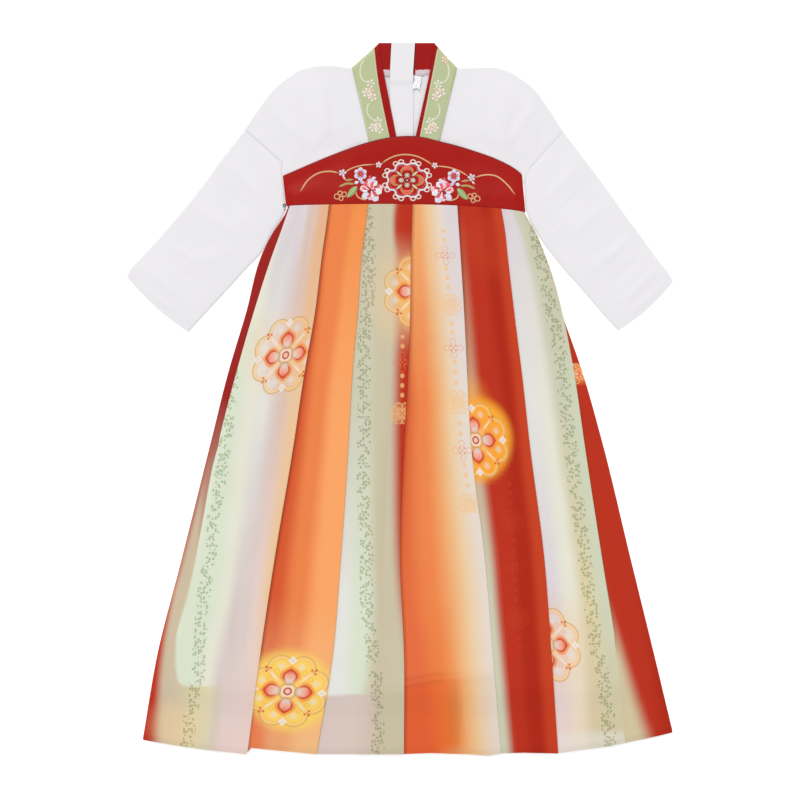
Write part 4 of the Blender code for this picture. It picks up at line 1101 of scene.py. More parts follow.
sleeves = dict(
    spans=30, rows=70, edge=1.2, half=0.25, fullness=0.7, creaseWidth=0.12, bow=4.0, thickness=0.45,
    creaseOver=1.4, creaseUnder=0.5, flat=(0.32, 0.22), area=dict(left=0.053, right=0.0487),
    # outer edge, inner edge, air, height and place of the lengthwise crease
    left=[
        (-201.4, 351.6, -153.4, 308.6, 0.0, 0.0, 0.5), (-212, 338, -153.4, 290, 0.8, 0.2, 0.5),
        (-228, 318, -150.5, 260, 1.2, 0.3, 0.55), (-248, 291, -150.6, 242, 1.4, 0.3, 0.6),
        (-268, 264, -165.5, 219, 1.4, 0.6, 0.65), (-288, 240, -179.5, 192, 1.3, 0.8, 0.7),
        (-304, 221, -199, 171, 1.2, 0.5, 0.7), (-320, 203, -218, 150, 1.2, 0.3, 0.5),
        (-337, 185, -240, 126, 1.1, 0.6, 0.4), (-350, 171, -262, 102, 0.9, 0.4, 0.6),
        (-355, 160, -275, 88, 0.5, 0.0, 0.5),
    ],
    right=[
        (211.4, 349.6, 170.4, 303.6, 0.0, 0.0, 0.5), (222, 336, 163.6, 287, 0.8, 0.4, 0.6),
        (238, 315, 162.9, 264, 1.2, 0.7, 0.7), (257, 290, 166.4, 238, 1.4, 0.8, 0.7),
        (276, 264, 184, 207, 1.4, 0.5, 0.6), (293, 240, 198, 188, 1.3, 0.4, 0.5),
        (307, 221, 215, 167, 1.2, 0.3, 0.4), (321, 202, 232, 148, 1.2, 0.5, 0.4),
        (336, 181, 251, 126, 1.1, 0.7, 0.5), (349, 165, 270, 104, 0.9, 0.5, 0.6),
        (355, 154, 283.5, 90, 0.5, 0.0, 0.5),
    ],
    creases=[
        (-215, 300, -180, 262, 5, 0.8), (-240, 282, -196, 246, 4, -0.6), (-262, 250, -214, 214, 5, 0.7),
        (-300, 205, -262, 178, 4, 0.8), (-312, 190, -268, 158, 3, -0.6), (-330, 172, -286, 128, 4, 0.8),
        (-340, 150, -300, 118, 3, 0.5), (-208, 240, -186, 214, 4, 0.6), (-246, 196, -232, 160, 4, 0.6),
        (226, 300, 192, 262, 5, 0.8), (246, 282, 204, 240, 4, -0.6), (268, 254, 222, 214, 5, 0.7),
        (300, 214, 262, 176, 4, 0.8), (316, 192, 276, 150, 3, -0.6), (332, 170, 294, 130, 4, 0.8),
        (342, 150, 304, 114, 3, 0.5), (214, 232, 196, 210, 4, 0.6), (262, 190, 244, 160, 4, 0.6),
    ],
)


def buildSleeve(side):
    # One tube: along its lower half from the outer edge to the inner one, and back along its upper half.
    table = np.array(sleeves[side])
    last = len(table) - 1
    at = np.linspace(0, last, sleeves["rows"] + 1)[:, None]
    x0, y0, x1, y1, air, crease, place = (curve(list(enumerate(column)))(at) for column in table.T)
    width = np.hypot(x1 - x0, y1 - y0)
    share = spread(sleeves["spans"], 0.5)
    back = share[::-1]
    low = sleeves["edge"] + (width - 2 * sleeves["edge"]) * share
    fullness = np.sin(np.pi * back).clip(0)
    puff = air * fullness ** sleeves["fullness"]
    puff = puff + crease * fullness * np.exp(-(((back - place) / sleeves["creaseWidth"]) ** 2))
    s = np.hstack([low, width - sleeves["half"], low[:, ::-1], np.full_like(width, sleeves["half"])])
    seam = np.full_like(width, layer["pitch"] - layer["seamGap"] / 2)
    lowZ = np.full_like(low, layer["middle"])
    z = np.hstack([lowZ, seam, layer["overBack"] + layer["middle"] + puff, seam])
    ax, ay = (x1 - x0) / width, (y1 - y0) / width
    out = np.where(ax > 0, 1, -1)
    bowed = sleeves["bow"] * ramp(at, last - 2, last) * np.sin(np.pi * s / width)
    x = x0 + ax * s + ay * out * bowed
    y = y0 + ay * s - ax * out * bowed
    calm = np.sin(np.pi * share).clip(0) ** 0.6
    still = np.zeros(len(share))
    over, under = np.r_[still, 0, calm[::-1], 0], np.r_[calm, 0, still, 0]
    ends = soften(at, 0, 0.8) * soften(last - at, 0, 0.6)
    waves = creased(x, y, sleeves["creases"])
    waves = sleeves["creaseOver"] * waves * over + sleeves["creaseUnder"] * np.abs(waves) * under
    sew("sleeve_" + side, "white crepe", x, y, z + waves * ends, sleeves["thickness"], sleeves["flat"],
        sleeves["area"][side], tube=True)


for build in (buildBodiceFront, buildBodiceBack, buildSleeve):
    for side in ("left", "right"):
        build(side)
print("bodice and sleeves made")

# Collar, facings, guard and label

collar = dict(
    left=dict(
        outer=[(-62.4, 431.6), (-38.8, 330)], seam=[(-33.5, 457), (-29.3, 421), (-11.9, 332.6)],
        inner=[(-28.5, 461.5), (-20.3, 421), (-3.4, 335)], fold=-27.5,
        facing=dict(flat=(0.018, 0.13), area=0.00215),
        neckBand=dict(corner=(-61.5, 431.6), flat=(0.065, 0.036), area=0.00168),
        neckFacing=dict(corner=(-45, 427), flat=(0.048, 0.043), area=0.00162),
    ),
    right=dict(
        outer=[(74, 431.6), (49.5, 330)], seam=[(48.8, 457.5), (41.6, 420), (24.3, 334.5)],
        inner=[(46, 461.5), (37, 417.5), (18.7, 335)], fold=44.8,
        facing=dict(flat=(0.014, 0.13), area=0.00162),
        neckBand=dict(corner=(73, 431.6), flat=(0.07, 0.036), area=0.00196),
        neckFacing=dict(corner=(57, 427), flat=(0.054, 0.043), area=0.00196),
    ),
    top=463.7, thickness=0.6, thicknessBack=0.5, tuck=8, lowered=9.5, loweredFrom=(440, 455),
    facingLowered=7, wide=32, long=110, facingLong=125, highBack=36, flat=(0.034, 0.11), area=0.0035,
    # curls of the outer, inner and top edge and of the facing: their reach and depth
    outerCurl=(4, 2.0), innerCurl=(2, 0.8), topCurl=(6, 3.2), facingCurl=(5, 1.6), least=0.4,
)


def collarHeight(u, v):
    # The green band lies down on the bodice outside, and on the facing inside.
    z = layer["overCollarFacing"] + layer["middle"]
    z = z - rounding(u * collar["wide"], *collar["outerCurl"])
    z = z - rounding((1 - u) * collar["wide"], *collar["innerCurl"])
    z = z - rounding(v * collar["long"], *collar["topCurl"])
    return np.maximum(z, layer["overBack"] + collar["least"])


def buildCollar(side):
    edges = collar[side]
    across, down = spread(20, 0.6), spread(60, 0.4)
    outer, seam, inner = edges["outer"], flow(edges["seam"]), flow(edges["inner"])
    x, y = patch([outer[0], seam[0]], [outer[-1], seam[-1]], outer, seam, across, down)
    z = collarHeight(across[None, :], down[:, None])
    sew("collar_" + side, "green satin", x, y, z, collar["thickness"], collar["flat"], collar["area"])
    tuck = bodice[side]["turn"] * collar["tuck"]
    tucked = [(x + tuck, y - collar["lowered"] * ramp(y, *collar["loweredFrom"])) for x, y in seam]
    x, y = patch([tucked[0], inner[0]], [tucked[-1], inner[-1]], tucked, inner, spread(10, 0.5), down)
    curl = rounding(down[:, None] * collar["facingLong"], *collar["facingCurl"])
    z = layer["overFacing"] + layer["middle"] - curl
    sew("facing_" + side, "facing satin", x, y, z, collar["thickness"], **edges["facing"])


def buildBackNeck(side):
    edges = collar[side]
    top = [(edges["fold"], collar["top"]), (centreBack(side), collar["top"])]
    for name, kind, which, floor, lowered, curl in (
        ("collar_back_", "green satin", "neckBand", layer["floor"], 0, 0.3),
        ("facing_back_", "facing satin", "neckFacing", layer["overBack"], collar["facingLowered"], -0.3),
    ):
        cut = edges[which]
        low = [cut["corner"], (top[1][0], bodice["neckSeam"] - lowered)]
        down = spread(14, 0.5)
        x, y = patch(top, low, [top[0], low[0]], [top[1], low[1]], spread(16, 0.3), down)
        z = floor + layer["middle"] + 0.1 * uneven(x, y, 6, 3)
        z = z + rounding(down[:, None] * collar["highBack"], 2, curl)
        sew(name + side, kind, x, y, z, collar["thicknessBack"], cut["flat"], cut["area"])


guard = dict(
    left=[(-11, 464), (-13, 426), (-13, 262)], right=[(19.5, 464), (17, 426), (17, 262)], step=(407, 416),
    thickness=0.6, flat=(0.031, 0.203), area=0.0062,
)
label = dict(left=18.2, right=27, top=420, foot=404, above=0.3, thickness=0.25, flat=(0.011, 0.017))


def buildGuard():
    left, right = guard["left"], guard["right"]
    x, y = patch([left[0], right[0]], [left[-1], right[-1]], left, right, spread(16, 0.5), spread(80))
    z = mix(layer["overBack"], layer["overFacing"], soften(y, *guard["step"])) + layer["middle"]
    z = z + 0.2 * uneven(x, y, 11, 5)
    sew("back_guard", "white crepe", x, y, z, guard["thickness"], guard["flat"], guard["area"])


def buildLabel():
    # The tape is crumpled by wear.
    u, v = spread(16)[None, :], spread(22)[:, None]
    x = mix(label["left"], label["right"], u) + 0.9 * np.sin(v * 5.2 + 0.6) - 0.6 * v
    y = mix(label["top"], label["foot"], v) + 0.8 * np.sin(u * 4.4) + 0.5 * np.sin(u * 9 + v * 3)
    z = layer["overBack"] + layer["middle"] + label["above"]
    z = z + 0.9 * np.abs(np.sin(u * 5 + v * 4.2)) * soften(v, 0, 0.2)
    z = z + 0.7 * np.abs(np.sin(v * 8.3 - u * 3.1))
    sew("neck_label", "label tape", x, y, z, label["thickness"], label["flat"])


for side in ("left", "right"):
    buildCollar(side)
    buildBackNeck(side)
buildGuard()
buildLabel()
print("collar, guard and label made")

# Waistband

band = dict(
    flat=(0.34, 0.092), area=0.0222, flatBack=(0.315, 0.047), areaBack=0.0122, thickness=0.9, high=88,
    top=[(-152, 291), (-75, 323), (-42, 334), (-5, 341.5), (21, 342), (53, 335), (100, 322),
         (129, 311), (150, 299.5), (158, 293)],
    ends=((-147.5, 252), (162.5, 244)), sideFall=13, belly=4.9, collarMiddle=6, overCollars=(58, 90),
    overSkirt=(12, 36), underTop=(12, 34), wall=1.3,
    # curls of its ends, its top, its foot and the ends of its back: their reach and depth
    endCurl=(2.5, 1.5), topCurl=(2.5, 0.5), footCurl=(1.5, 0.25), backCurl=(2.5, 0.5),
    creases=[(-120, 262, -116, 290, 4, 0.25), (-96, 256, -98, 276, 3, -0.2), (-60, 256, -58, 274, 3, 0.25),
             (60, 256, 62, 280, 4, 0.25), (118, 254, 122, 280, 4, -0.25), (138, 256, 134, 284, 4, 0.3)],
)
bandTop = curve(band["top"])
bandBottom = flow([band["ends"][0], *skirt["waistSeam"][2:-2], band["ends"][1]])


def bandHeight(x, y, fall):
    # It lies over the skirt below and the collars above, and falls to the bodice at its ends.
    height = layer["skirtFront"] - (layer["skirtFront"] - band["belly"]) * soften(
        y - waistSeam(x), *band["overSkirt"])
    nearCollar = 1 - ramp(np.abs(x - band["collarMiddle"]), *band["overCollars"])
    rim = mix(layer["overFacing"], layer["overCollar"], smooth(nearCollar))
    under = rim + (height - rim) * soften(bandTop(x) - y, *band["underTop"])
    return mix(layer["overFacing"], under, fall) + band["wall"] / 2 + creased(x, y, band["creases"])


def fromSides(x):
    return np.minimum(x - x[:, :1], x[:, -1:] - x)


def buildBand():
    left, right = [band["top"][0], band["ends"][0]], [band["top"][-1], band["ends"][1]]
    down = spread(34, 0.4)
    x, y = patch(flow(band["top"]), bandBottom, left, right, spread(110, 0.3), down)
    z = bandHeight(x, y, soften(fromSides(x), 0, band["sideFall"]))
    z = z - rounding(fromSides(x), *band["endCurl"])
    z = z - rounding(down[:, None] * band["high"], *band["topCurl"])
    z = z - rounding((1 - down[:, None]) * band["high"], *band["footCurl"])
    sew("waistband_front", "red satin", x, y, z, band["thickness"], band["flat"], band["area"])
    top = [(x, bodice["backBandTop"]) for x in (left[0][0], right[0][0])]
    x, y = patch(top, bandBottom, [top[0], left[1]], [top[1], right[1]], spread(40), spread(10))
    z = layer["middle"] + rounding(fromSides(x), *band["backCurl"]) + 0.08 * uneven(x, y, 12, 7)
    sew("waistband_back", "red satin", x, y, z, band["thickness"], band["flatBack"], band["areaBack"])


buildBand()
print("waistband made")

# Embroidery and sewing: raised satin stitch, every stroke a closed ribbon on the cloth's surface

threads = dict(
    gold=(224, 178, 130), cream=(240, 228, 212), white=(240, 240, 242), ice=(226, 226, 240),
    lilac=(206, 192, 226), pink=(246, 196, 200), rose=(228, 92, 104), coral=(238, 96, 84),
    flame=(236, 118, 70), crimson=(150, 22, 24), leaf=(150, 178, 112), olive=(178, 158, 98),
    mint=(206, 222, 190), pale=(228, 230, 206), peach=(240, 214, 190), pine=(44, 66, 44),
    bandRed=(148, 24, 22), crepe=(226, 224, 228), fray=(228, 212, 216), maroon=(92, 14, 14),
)
dyes.update({"thread " + name: shown for name, shown in threads.items()})
ribbon = dict(across=(-1, -0.62, 0, 0.62, 1, 0), up=(0.0, 0.78, 1.0, 0.78, 0.0, -0.5))


def makeThread():
    # Fine shining threads, which lie across each stroke, with painted shade between them and painted
    # highlight on them.
    made, tree, sockets = newMaterial("embroidery thread", rough=0.42, gloss=0.3, sheen=0.05)
    lay = addNode(tree, "TexWave", {"Vector": uvMap(tree, "stitch"), "Scale": 130.0, "Distortion": 1.2,
                                    "Detail": 1.0}, bands_direction="Y").outputs["Fac"]
    # Painted shade in the grooves between threads and painted highlight on their tops
    light = calc(tree, "MULTIPLY_ADD", lay, 0.22, 0.86)
    join(tree, shaded(tree, attribute(tree, "thread")["Color"], light), sockets["Base Color"])
    bump = addNode(tree, "Bump", {"Height": lay, "Strength": 0.4, "Distance": 0.0002})
    join(tree, bump.outputs[0], sockets["Normal"])
    return made


threadMaterial = makeThread()


def surfaceOf(*names):
    # The height of the uppermost of these cloths above a point, in mm.
    carriers = [bpy.data.objects[name] for name in names]

    def height(x, y):
        tops = []
        for obj in carriers:
            hit, place, _, _ = obj.ray_cast((x * mm, y * mm, 0.1), (0, 0, -1))
            if hit:
                tops.append(place.z / mm)
        if tops:
            return max(tops)
        return carriers[0].closest_point_on_mesh((x * mm, y * mm, 0.005))[1].z / mm

    return height


class Needle:
    # Gathers the strokes that are worked on one cloth, and joins them into one piece.
    def __init__(self, name, height):
        self.name, self.height = name, height
        self.points, self.faces, self.shades, self.maps = [], [], [], []

    def stroke(self, path, widths, shade, lift=0.5, over=0.0, closed=False):
        # A ribbon along a path, as thick as lift and this far over the cloth.
        path = np.array(path, float)
        count = len(path)
        side = rightOf(path, closed)
        half = np.broadcast_to(np.array(widths, float) / 2, count)
        places = lengths(path)
        first = len(self.points)
        around = len(ribbon["across"])
        for k in range(count):
            thick = lift * min(1.0, half[k] / 0.5 + 0.15)
            for across, up in zip(ribbon["across"], ribbon["up"]):
                x, y = path[k] + side[k] * half[k] * across
                self.points.append((x, y, max(self.height(x, y) + over + thick * up, 0.1)))
                self.shades.append(shade)
                self.maps.append((across * half[k] * mm, places[k] * mm))
        for k in range(count if closed else count - 1):
            a, b = first + k * around, first + (k + 1) % count * around
            for j in range(around):
                i = (j + 1) % around
                self.faces.append((a + j, a + i, b + i, b + j))
        if not closed:
            self.faces.append(tuple(first + j for j in reversed(range(around))))
            self.faces.append(tuple(first + (count - 1) * around + j for j in range(around)))

    def line(self, points, width, shade, taper=0.35, **rest):
        path = flow(points, 5) if len(points) > 2 else np.linspace(points[0], points[1], 4)
        ends = np.minimum(np.linspace(0, 1, len(path)), np.linspace(1, 0, len(path)))
        self.stroke(path, width * (taper + (1 - taper) * soften(ends, 0, 0.12)), shade, **rest)

    def loop(self, cx, cy, radius, width, shade, squash=1.0, **rest):
        turn = np.linspace(0, 2 * math.pi, max(14, int(radius * 4)), endpoint=False)
        path = np.stack([cx + radius * np.cos(turn), cy + radius * squash * np.sin(turn)], 1)
        self.stroke(path[::-1], width, shade, closed=True, **rest)

    def petal(self, start, end, width, shade, broad=0.55, bend=0.0, **rest):
        # A filled leaf or petal, broadest at this share of its length and bent sideways.
        share = np.linspace(0, 1, 11)
        path = mix(np.array(start, float), np.array(end, float), share[:, None])
        dx, dy = path[-1] - path[0]
        path = path + np.array([dy, -dx]) * bend * np.sin(math.pi * share)[:, None]
        body = np.sin(math.pi * share ** (math.log(0.5) / math.log(broad))) ** 0.75
        self.stroke(path, width * np.maximum(body, 0.06), shade, **rest)

    def flower(self, cx, cy, inner, outer, width, count, shade, turn=0.0, **rest):
        middle = np.array([cx, cy])
        for k in range(count):
            angle = turn + 2 * math.pi * k / count
            along = np.array([math.cos(angle), math.sin(angle)])
            self.petal(middle + along * inner, middle + along * outer, width, shade, broad=0.62, **rest)

    def finish(self):
        table = {name: dye("thread " + name) for name in set(self.shades)}
        shades = np.array([table[name] for name in self.shades])
        obj = makePiece(self.name, np.array(self.points), self.faces, threadMaterial,
                        {"stitch": np.array(self.maps)}, {"thread": shades})
        turnOutwards(obj)
        bpy.ops.object.shade_smooth_by_angle(angle=math.radians(50))
        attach(obj, "root")
        print(self.name, len(self.points), "points")


# The band's embroidery: gold vines as width and points, and a rosette between two sprays of flowers
bandVines = [
    (1.9, [(-129.1, 270.1), (-119.6, 284.9), (-106.6, 294.0), (-91, 296.6), (-79, 294.3)]),
    (1.7, [(-72, 294.9), (-65, 299.2), (-50.7, 303.9), (-33, 305.5)]),
    (1.8, [(-24, 306.5), (-15.6, 312.2), (-2.6, 317.2), (10, 318.1), (22.9, 315.5), (35.9, 309.0),
           (42, 304.9)]),
    (1.7, [(48, 303.3), (61.8, 301.8), (76.7, 297.1), (88, 290.4)]),
    (1.9, [(97, 288.5), (110, 291.9), (124.8, 290.4), (137, 281.4), (149, 266.4)]),
    (1.8, [(-56.8, 269), (-55.9, 264.7), (-51.2, 261), (-43.9, 259.2)]),
    (1.8, [(75.5, 266.5), (74.6, 262.5), (70.7, 259.8), (63.3, 258)]),
]
rosette = dict(x=9.2, y=284.8, squash=0.84, axis=24.0, corner=22.4, lobe=27.0, reach=29.4)
sprays = [dict(flower=(-51.2, 293), peony=(-37.2, 272.4), out=-1),
          dict(flower=(69.8, 290.3), peony=(54.8, 270.6), out=1)]
peonySize = 1.18
# A peony's petals: angle, inner and outer end, width, bend, shade and height
peonyPetals = [
    (98, 3, 13.0, 7.5, 0.1, "ice", 0.1), (58, 3, 12.0, 6.5, -0.1, "white", 0.2),
    (20, 3, 13.4, 7.5, 0.1, "pink", 0.1), (-22, 3, 12.0, 7.0, -0.1, "white", 0.2),
    (-58, 3, 14.6, 8.5, 0.12, "ice", 0.1), (-98, 3, 12.4, 7.0, 0.0, "pink", 0.2),
    (-140, 3, 13.8, 7.5, -0.12, "ice", 0.1), (178, 3, 12.6, 7.5, 0.1, "pink", 0.2),
    (138, 3, 12.6, 6.5, 0.1, "rose", 0.1), (118, 1, 9.0, 5.0, 0.15, "pink", 0.6),
    (72, 1, 9.4, 3.4, -0.2, "rose", 0.7), (8, 1, 8.8, 5.0, 0.2, "white", 0.6),
    (-42, 1, 10.4, 3.2, 0.2, "rose", 0.7), (-74, 1, 9.4, 5.2, 0.1, "white", 0.6),
    (-118, 1, 10.0, 3.2, -0.2, "rose", 0.7), (-158, 1, 9.2, 5.0, 0.2, "white", 0.6),
    (160, 2, 10.4, 2.6, -0.2, "rose", 0.8), (36, 4, 11.4, 2.4, 0.2, "rose", 0.8),
    (96, 0, 5.4, 3.6, 0.2, "coral", 1.0), (-20, 0, 5.2, 3.2, -0.2, "rose", 1.0),
    (-130, 0, 5.0, 3.2, 0.2, "crimson", 1.0), (40, 0, 4.2, 2.4, 0.0, "pink", 1.2),
]


def stitchRosette(needle):
    # Eight lobes with twin rings outside, and four half moons about a small cross inside.
    cx, cy, squash = rosette["x"], rosette["y"], rosette["squash"]

    def at(radius, angle):
        return cx + radius * math.cos(angle), cy + radius * math.sin(angle) * squash

    eighth = math.pi / 4
    lobes = []
    for k in range(8):
        lobes.append(at(rosette["corner"] if k % 2 else rosette["axis"], k * eighth))
        lobes.extend(at(rosette["lobe"], (k + share) * eighth) for share in (0.3, 0.7))
    lobes.append(lobes[0])
    needle.stroke(flow(lobes, 4)[:-1], 2.3, "ice", lift=0.55, closed=True)
    inner = [(mix(cx, x, 0.86), mix(cy, y, 0.86)) for x, y in lobes]
    needle.stroke(flow(inner, 4)[:-1], 1.0, "rose", lift=0.35, closed=True)
    for k in range(8):
        middle = (k + 0.5) * eighth
        for turn in (-0.13, 0.13):
            x, y = at(rosette["reach"], middle + turn)
            needle.loop(x, y, 3.2, 1.5, "cream", squash=squash, over=0.1)
        needle.petal(at(25.4, middle), at(30.5, middle), 1.8, "white", over=0.2)
    for k in range(4):
        angle = k * math.pi / 2
        corner = angle + eighth
        needle.petal(at(20.4, corner), at(9.0, corner), 2.8, "mint")
        ax, ay = at(13.6, angle)
        for radius, width, shade, sweep in ((8.0, 1.7, "flame", 2.1), (6.4, 1.3, "leaf", 1.9)):
            turns = np.linspace(angle - sweep, angle + sweep, 11)
            moon = [(ax + radius * math.cos(t), ay + radius * squash * math.sin(t)) for t in turns]
            needle.line(moon, width, shade, over=0.1)
        tx, ty = -math.sin(angle) * 5.4, math.cos(angle) * 5.4 * squash
        mx, my = at(14.8, angle)
        needle.petal((mx - tx, my - ty), (mx + tx, my + ty), 5.6, "coral", broad=0.5, bend=0.28, lift=0.7,
                     over=0.15)
        lx, ly = at(7.6, angle)
        needle.loop(lx, ly, 2.6, 1.2, "mint", squash=0.9, over=0.25)
        needle.petal(at(5.8, angle), at(9.6, angle), 2.2, "white", over=0.3)
        needle.petal(at(2.6, corner), at(6.4, corner), 1.9, "rose", over=0.2)
    needle.loop(cx, cy, 2.2, 1.6, "crimson", over=0.3)
    needle.flower(cx, cy, 0.0, 1.3, 1.1, 4, "cream", over=0.5)


def stitchBlossom(needle, x, y, size, shade, heart, turn, **rest):
    needle.flower(x, y, 0.6 * size, 4.4 * size, 2.7 * size, 5, shade, turn=turn, over=0.25, **rest)
    needle.loop(x, y, 0.7 * size, 0.9 * size, heart, over=0.6)


def stitchSpray(needle, spray):
    # A lilac flower above a peony, with leaves, gold scrolls and buds outside.
    out = spray["out"]
    x, y = spray["flower"]
    needle.flower(x, y, 2.0, 8.8, 6.2, 6, "ice", turn=0.5, over=0.2)
    needle.flower(x, y, 2.4, 6.6, 3.0, 6, "lilac", turn=0.5, over=0.6)
    needle.loop(x, y, 3.3, 1.7, "rose", over=0.8)
    needle.petal((x - 1.7, y), (x + 1.7, y), 3.4, "flame", lift=0.8, over=0.9)
    for dx, dy, ex, ey, width, shade in (
        (-2, -10, -8, -12, 4.4, "ice"), (-1, -8, 5, -13, 4.4, "lilac"), (8, -8, 14, -8, 3.6, "pink"),
        (10, -6, 14, -2, 3.2, "rose"), (14, -6, 20, -5, 4.2, "ice"), (13, -9, 21, -11, 4.0, "lilac"),
    ):
        needle.petal((x - out * dx, y + dy), (x - out * ex, y + ey), width, shade, over=0.25)
    px, py = spray["peony"]
    for degrees, inner, outer, width, bend, shade, over in peonyPetals:
        angle = math.radians(degrees)
        along = np.array([-out * math.cos(angle), math.sin(angle) * 0.95])
        middle = np.array([px, py])
        root, tip = middle + along * inner * peonySize, middle + along * outer * peonySize
        needle.petal(root, tip, width * peonySize, shade, broad=0.62, bend=-out * bend, over=over)

    def at(dx, dy):
        return x + out * 0.5 + out * dx, y - 7.0 + dy

    needle.petal(at(8, 0), at(20, out * 1.5), 3.0, "olive")
    needle.line([at(8, -6), at(17, -5.6), at(27, -9.5)], 2.8, "olive", taper=0.2)
    needle.petal(at(4, -9), at(17, -24), 8.0, "leaf", broad=0.45)
    needle.line([at(5, -10), at(11, -17.5), at(16, -23)], 0.9, "mint", over=0.4)
    for dx, dy, radius in ((20.5, -19.5, 3.0), (26.0, -18.0, 2.6), (30.0, -22.5, 3.4), (24.5, -25.0, 2.6)):
        needle.loop(*at(dx, dy), radius, 1.4, "gold", over=0.1)


def stitchBand():
    needle = Needle("band_embroidery", surfaceOf("waistband_front_satin"))
    for width, points in bandVines:
        needle.line(points, width, "gold")
    stitchRosette(needle)
    for spray in sprays:
        stitchSpray(needle, spray)
    for x, y, turn in ((-27.6, 305, 0.2), (45.2, 304, 0.9)):
        stitchBlossom(needle, x, y, 0.95, "white", "pink", turn)
    for x, y, turn in ((-74.5, 294.5, 0.0), (92.7, 288.6, 0.6)):
        stitchBlossom(needle, x, y, 1.15, "ice", "peach", turn)
        needle.petal((x, y - 4), (x + 4, y - 9), 2.6, "peach", over=0.2)
    needle.finish()


# The vines of the two collars: vines as lines, blossoms as (x, y, size, shade)
collarVines = dict(
    left=dict(
        vines=[[(-45.5, 441), (-49.6, 436), (-51.6, 429), (-51, 420.3), (-47.6, 414.5), (-42.5, 411.2)],
               [(-39.2, 385.5), (-42.6, 379.5), (-42.2, 372), (-38, 365.8), (-33.4, 362)]],
        blossoms=[(-38, 410.2, 1.0, "pale"), (-43.6, 398.4, 1.05, "cream"), (-35.6, 392.6, 1.0, "cream"),
                  (-38.2, 401.6, 0.8, "peach"), (-28.6, 361.2, 1.0, "pale"), (-35, 353.4, 1.0, "cream"),
                  (-27.2, 350.8, 1.0, "cream"), (-31, 355.5, 0.7, "peach")],
    ),
    right=dict(
        vines=[[(60.5, 438), (63, 431), (63.2, 422.5), (60.6, 415.5), (55, 410.6)],
               [(48.8, 385.2), (51.6, 378), (50.6, 370.6), (46.4, 365), (42.6, 362.6)]],
        blossoms=[(58.6, 441.5, 0.9, "peach"), (49.8, 409.6, 1.0, "pale"), (53.2, 399, 1.05, "cream"),
                  (46.4, 393.2, 1.0, "cream"), (48.4, 402, 0.8, "peach"), (39.8, 361, 1.0, "pale"),
                  (44.4, 353.2, 1.0, "cream"), (37.2, 349.8, 1.0, "cream"), (41, 355.4, 0.7, "peach")],
    ),
)


def stitchCollar(side):
    plan = collarVines[side]
    needle = Needle("collar_embroidery_" + side, surfaceOf(f"collar_{side}_satin"))
    for points in plan["vines"]:
        needle.line(points, 1.8, "pale", lift=0.4)
    for k, (x, y, size, shade) in enumerate(plan["blossoms"]):
        stitchBlossom(needle, x, y, size * 1.4, shade, "cream" if k % 2 else "peach", 0.4 * k, lift=0.3)
    # A fine piping where green meets red, and a turned edge outside
    out = bodice[side]["turn"]
    needle.line([(x + out * 0.9, y) for x, y in collar[side]["seam"]], 0.8, "peach", lift=0.3)
    needle.line([(x - out * 1.0, y) for x, y in collar[side]["outer"]], 0.7, "cream", lift=0.25)
    needle.finish()


stitches = dict(pitch=3.0, length=2.1, lift=0.15)


def stitchRow(needle, points, shade, width=0.4):
    # A row of single stitches along a line.
    points = np.array(points, float)
    places = lengths(points)
    for start in np.arange(stitches["pitch"], places[-1] - stitches["pitch"], stitches["pitch"]):
        at = np.linspace(start, start + stitches["length"], 3)
        path = np.stack([np.interp(at, places, column) for column in points.T], 1)
        needle.stroke(path, (width * 0.6, width, width * 0.6), shade, lift=stitches["lift"])


def offsetLine(points, away):
    # A line moved sideways, to the right of its direction.
    points = np.array(points, float)
    return points + rightOf(points) * away


seams = dict(
    left=dict(armhole=[(-201.2, 351.8), (-178, 331), (-153.3, 308.8)],
              side=[(-153.2, 308.5), (-153.1, 292), (-150.6, 270), (-148.6, 250)]),
    right=dict(armhole=[(211.2, 349.8), (191, 327), (170.2, 303.8)],
               side=[(170.1, 303.6), (163.2, 291), (162.8, 268), (164, 246)]),
)
fray = dict(spans=((-23, -12), (20.5, 42)), pitch=0.62, top=428.8, foot=418.9, slant=0.11, above=0.3)


def stitchBandEdges():
    needle = Needle("band_stitching_and_painted_edge_shade", surfaceOf("waistband_front_satin"))
    top = flow(band["top"])
    stitchRow(needle, offsetLine(top, 2.2), "bandRed")
    stitchRow(needle, offsetLine(bandBottom, -2.2), "bandRed")
    # Painted shade along the band's top edge, as a dark maroon line
    needle.line(offsetLine(top[::4], 0.5), 0.9, "maroon", lift=0.2)
    needle.finish()


def stitchArmhole(side):
    needle = Needle("armhole_seam_" + side, surfaceOf(f"bodice_front_{side}_crepe", f"sleeve_{side}_crepe"))
    needle.line(seams[side]["armhole"], 2.2, "crepe", taper=0.8, lift=0.45)
    needle.line(seams[side]["side"], 1.5, "crepe", taper=0.8, lift=0.1, over=-0.3)
    needle.finish()


def stitchNeck():
    # The raw edge of the crepe inside the neck, and a dark line of thread beside the strip behind it, as
    # painted shadow in the gap there.
    surface = surfaceOf("bodice_back_left_crepe", "bodice_back_right_crepe", "facing_back_left_satin",
                        "facing_back_right_satin", "back_guard_crepe")
    lowest = layer["overBack"] + layer["middle"] + fray["above"]
    needle = Needle("neck_raw_edge_and_painted_shadow", lambda x, y: max(surface(x, y), lowest))
    luck = np.random.default_rng(4)
    for low, high in fray["spans"]:
        for x in np.arange(low, high, fray["pitch"]):
            top = fray["top"] + luck.uniform(-0.8, 0.8)
            foot = fray["foot"] + fray["slant"] * abs(x - bodice["centre"]) + luck.uniform(-1.6, 0.4)
            lean = luck.uniform(-0.6, 0.6)
            path = [(x, top), (x + lean * 0.4, mix(top, foot, 0.5)), (x + lean, foot)]
            needle.line(path, luck.uniform(0.5, 1.0), "fray", lift=0.3)
    # A dark maroon line beside the guard strip: painted shadow in the gap between strip and facing
    needle.line([(20.2, 462.5), (18.4, 440), (17.6, 424)], 1.3, "maroon", lift=0.3)
    needle.finish()


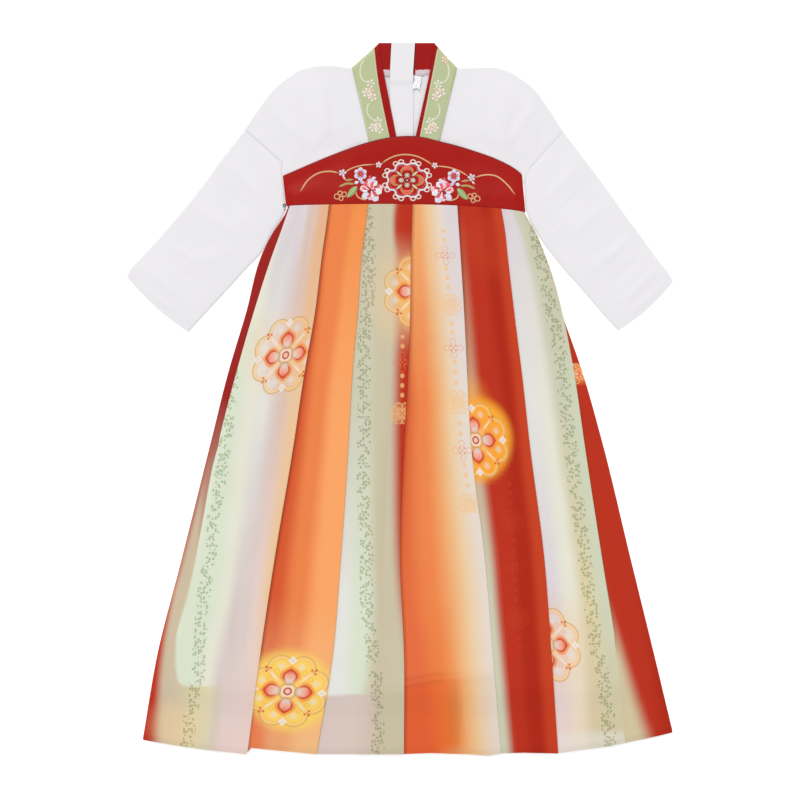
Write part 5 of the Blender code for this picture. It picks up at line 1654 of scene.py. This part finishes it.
def stitchWaistLoop():
    needle = Needle("waist_thread_loop",
                    surfaceOf("sleeve_left_crepe", "skirt_front_chiffon", "waistband_front_satin"))
    needle.loop(-150.4, 252.6, 1.5, 1.2, "pine", squash=1.3)
    needle.line([(-149.8, 250.4), (-149.0, 248), (-150.6, 245.0)], 1.0, "pine")
    needle.finish()


def stitchCuff(side):
    needle = Needle("sleeve_stitching_" + side, surfaceOf(f"sleeve_{side}_crepe"))
    before, cuff = np.array(sleeves[side][-2:])
    outer, inner = (cuff[ends] + 0.55 * (before[ends] - cuff[ends]) for ends in (slice(0, 2), slice(2, 4)))
    share = np.linspace(0.02, 0.98, 30)[:, None]
    away = np.array([bodice[side]["turn"] * 0.6, -0.8]) * sleeves["bow"] * 0.8 * np.sin(math.pi * share)
    stitchRow(needle, mix(outer, inner, share) + away, "crepe", width=0.45)
    needle.finish()


stitchCollar("left")
stitchCollar("right")
stitchBand()
stitchBandEdges()
stitchArmhole("left")
stitchArmhole("right")
stitchNeck()
stitchWaistLoop()
stitchCuff("left")
stitchCuff("right")
print("embroidery and seams stitched")

# Studio: a plain pale floor, even light and the camera straight above

studio = dict(
    height=2.455, lens=85, sensor=36, world=0.74, sun=1.58, sunSpread=48, sunTurn=(-40, -16, 0),
    floor=0.94, floorSize=60, glow=0.35,
)


def buildStudio():
    bpy.ops.object.select_all(action="DESELECT")
    bpy.ops.mesh.primitive_plane_add(size=studio["floorSize"], location=(0, 0, 0))
    floor = bpy.context.object
    floor.name = "floor"
    paper, _, sockets = newMaterial("floor paper", rough=0.9, gloss=0.1)
    sockets["Base Color"].default_value = (studio["floor"],) * 3 + (1,)
    sockets["Emission Color"].default_value = (1, 1, 1, 1)
    sockets["Emission Strength"].default_value = studio["glow"]
    floor.data.materials.append(paper)
    scene = bpy.context.scene
    scene.world = bpy.data.worlds.new("studio")
    scene.world.use_nodes = True
    backdrop = scene.world.node_tree.nodes["Background"].inputs
    backdrop["Strength"].default_value = studio["world"]
    backdrop["Color"].default_value = (1, 1, 1, 1)
    turn = [math.radians(degrees) for degrees in studio["sunTurn"]]
    bpy.ops.object.light_add(type="SUN", location=(-1, 1, 2), rotation=turn)
    sun = bpy.context.object
    sun.data.energy = studio["sun"]
    sun.data.angle = math.radians(studio["sunSpread"])
    bpy.ops.object.camera_add(location=(0, 0, studio["height"]), rotation=(0, 0, 0))
    camera = bpy.context.object
    camera.data.lens = studio["lens"]
    camera.data.sensor_width = studio["sensor"]
    scene.camera = camera
    scene.view_settings.view_transform = "Standard"
    scene.view_settings.look = "None"


buildStudio()
print("studio made")
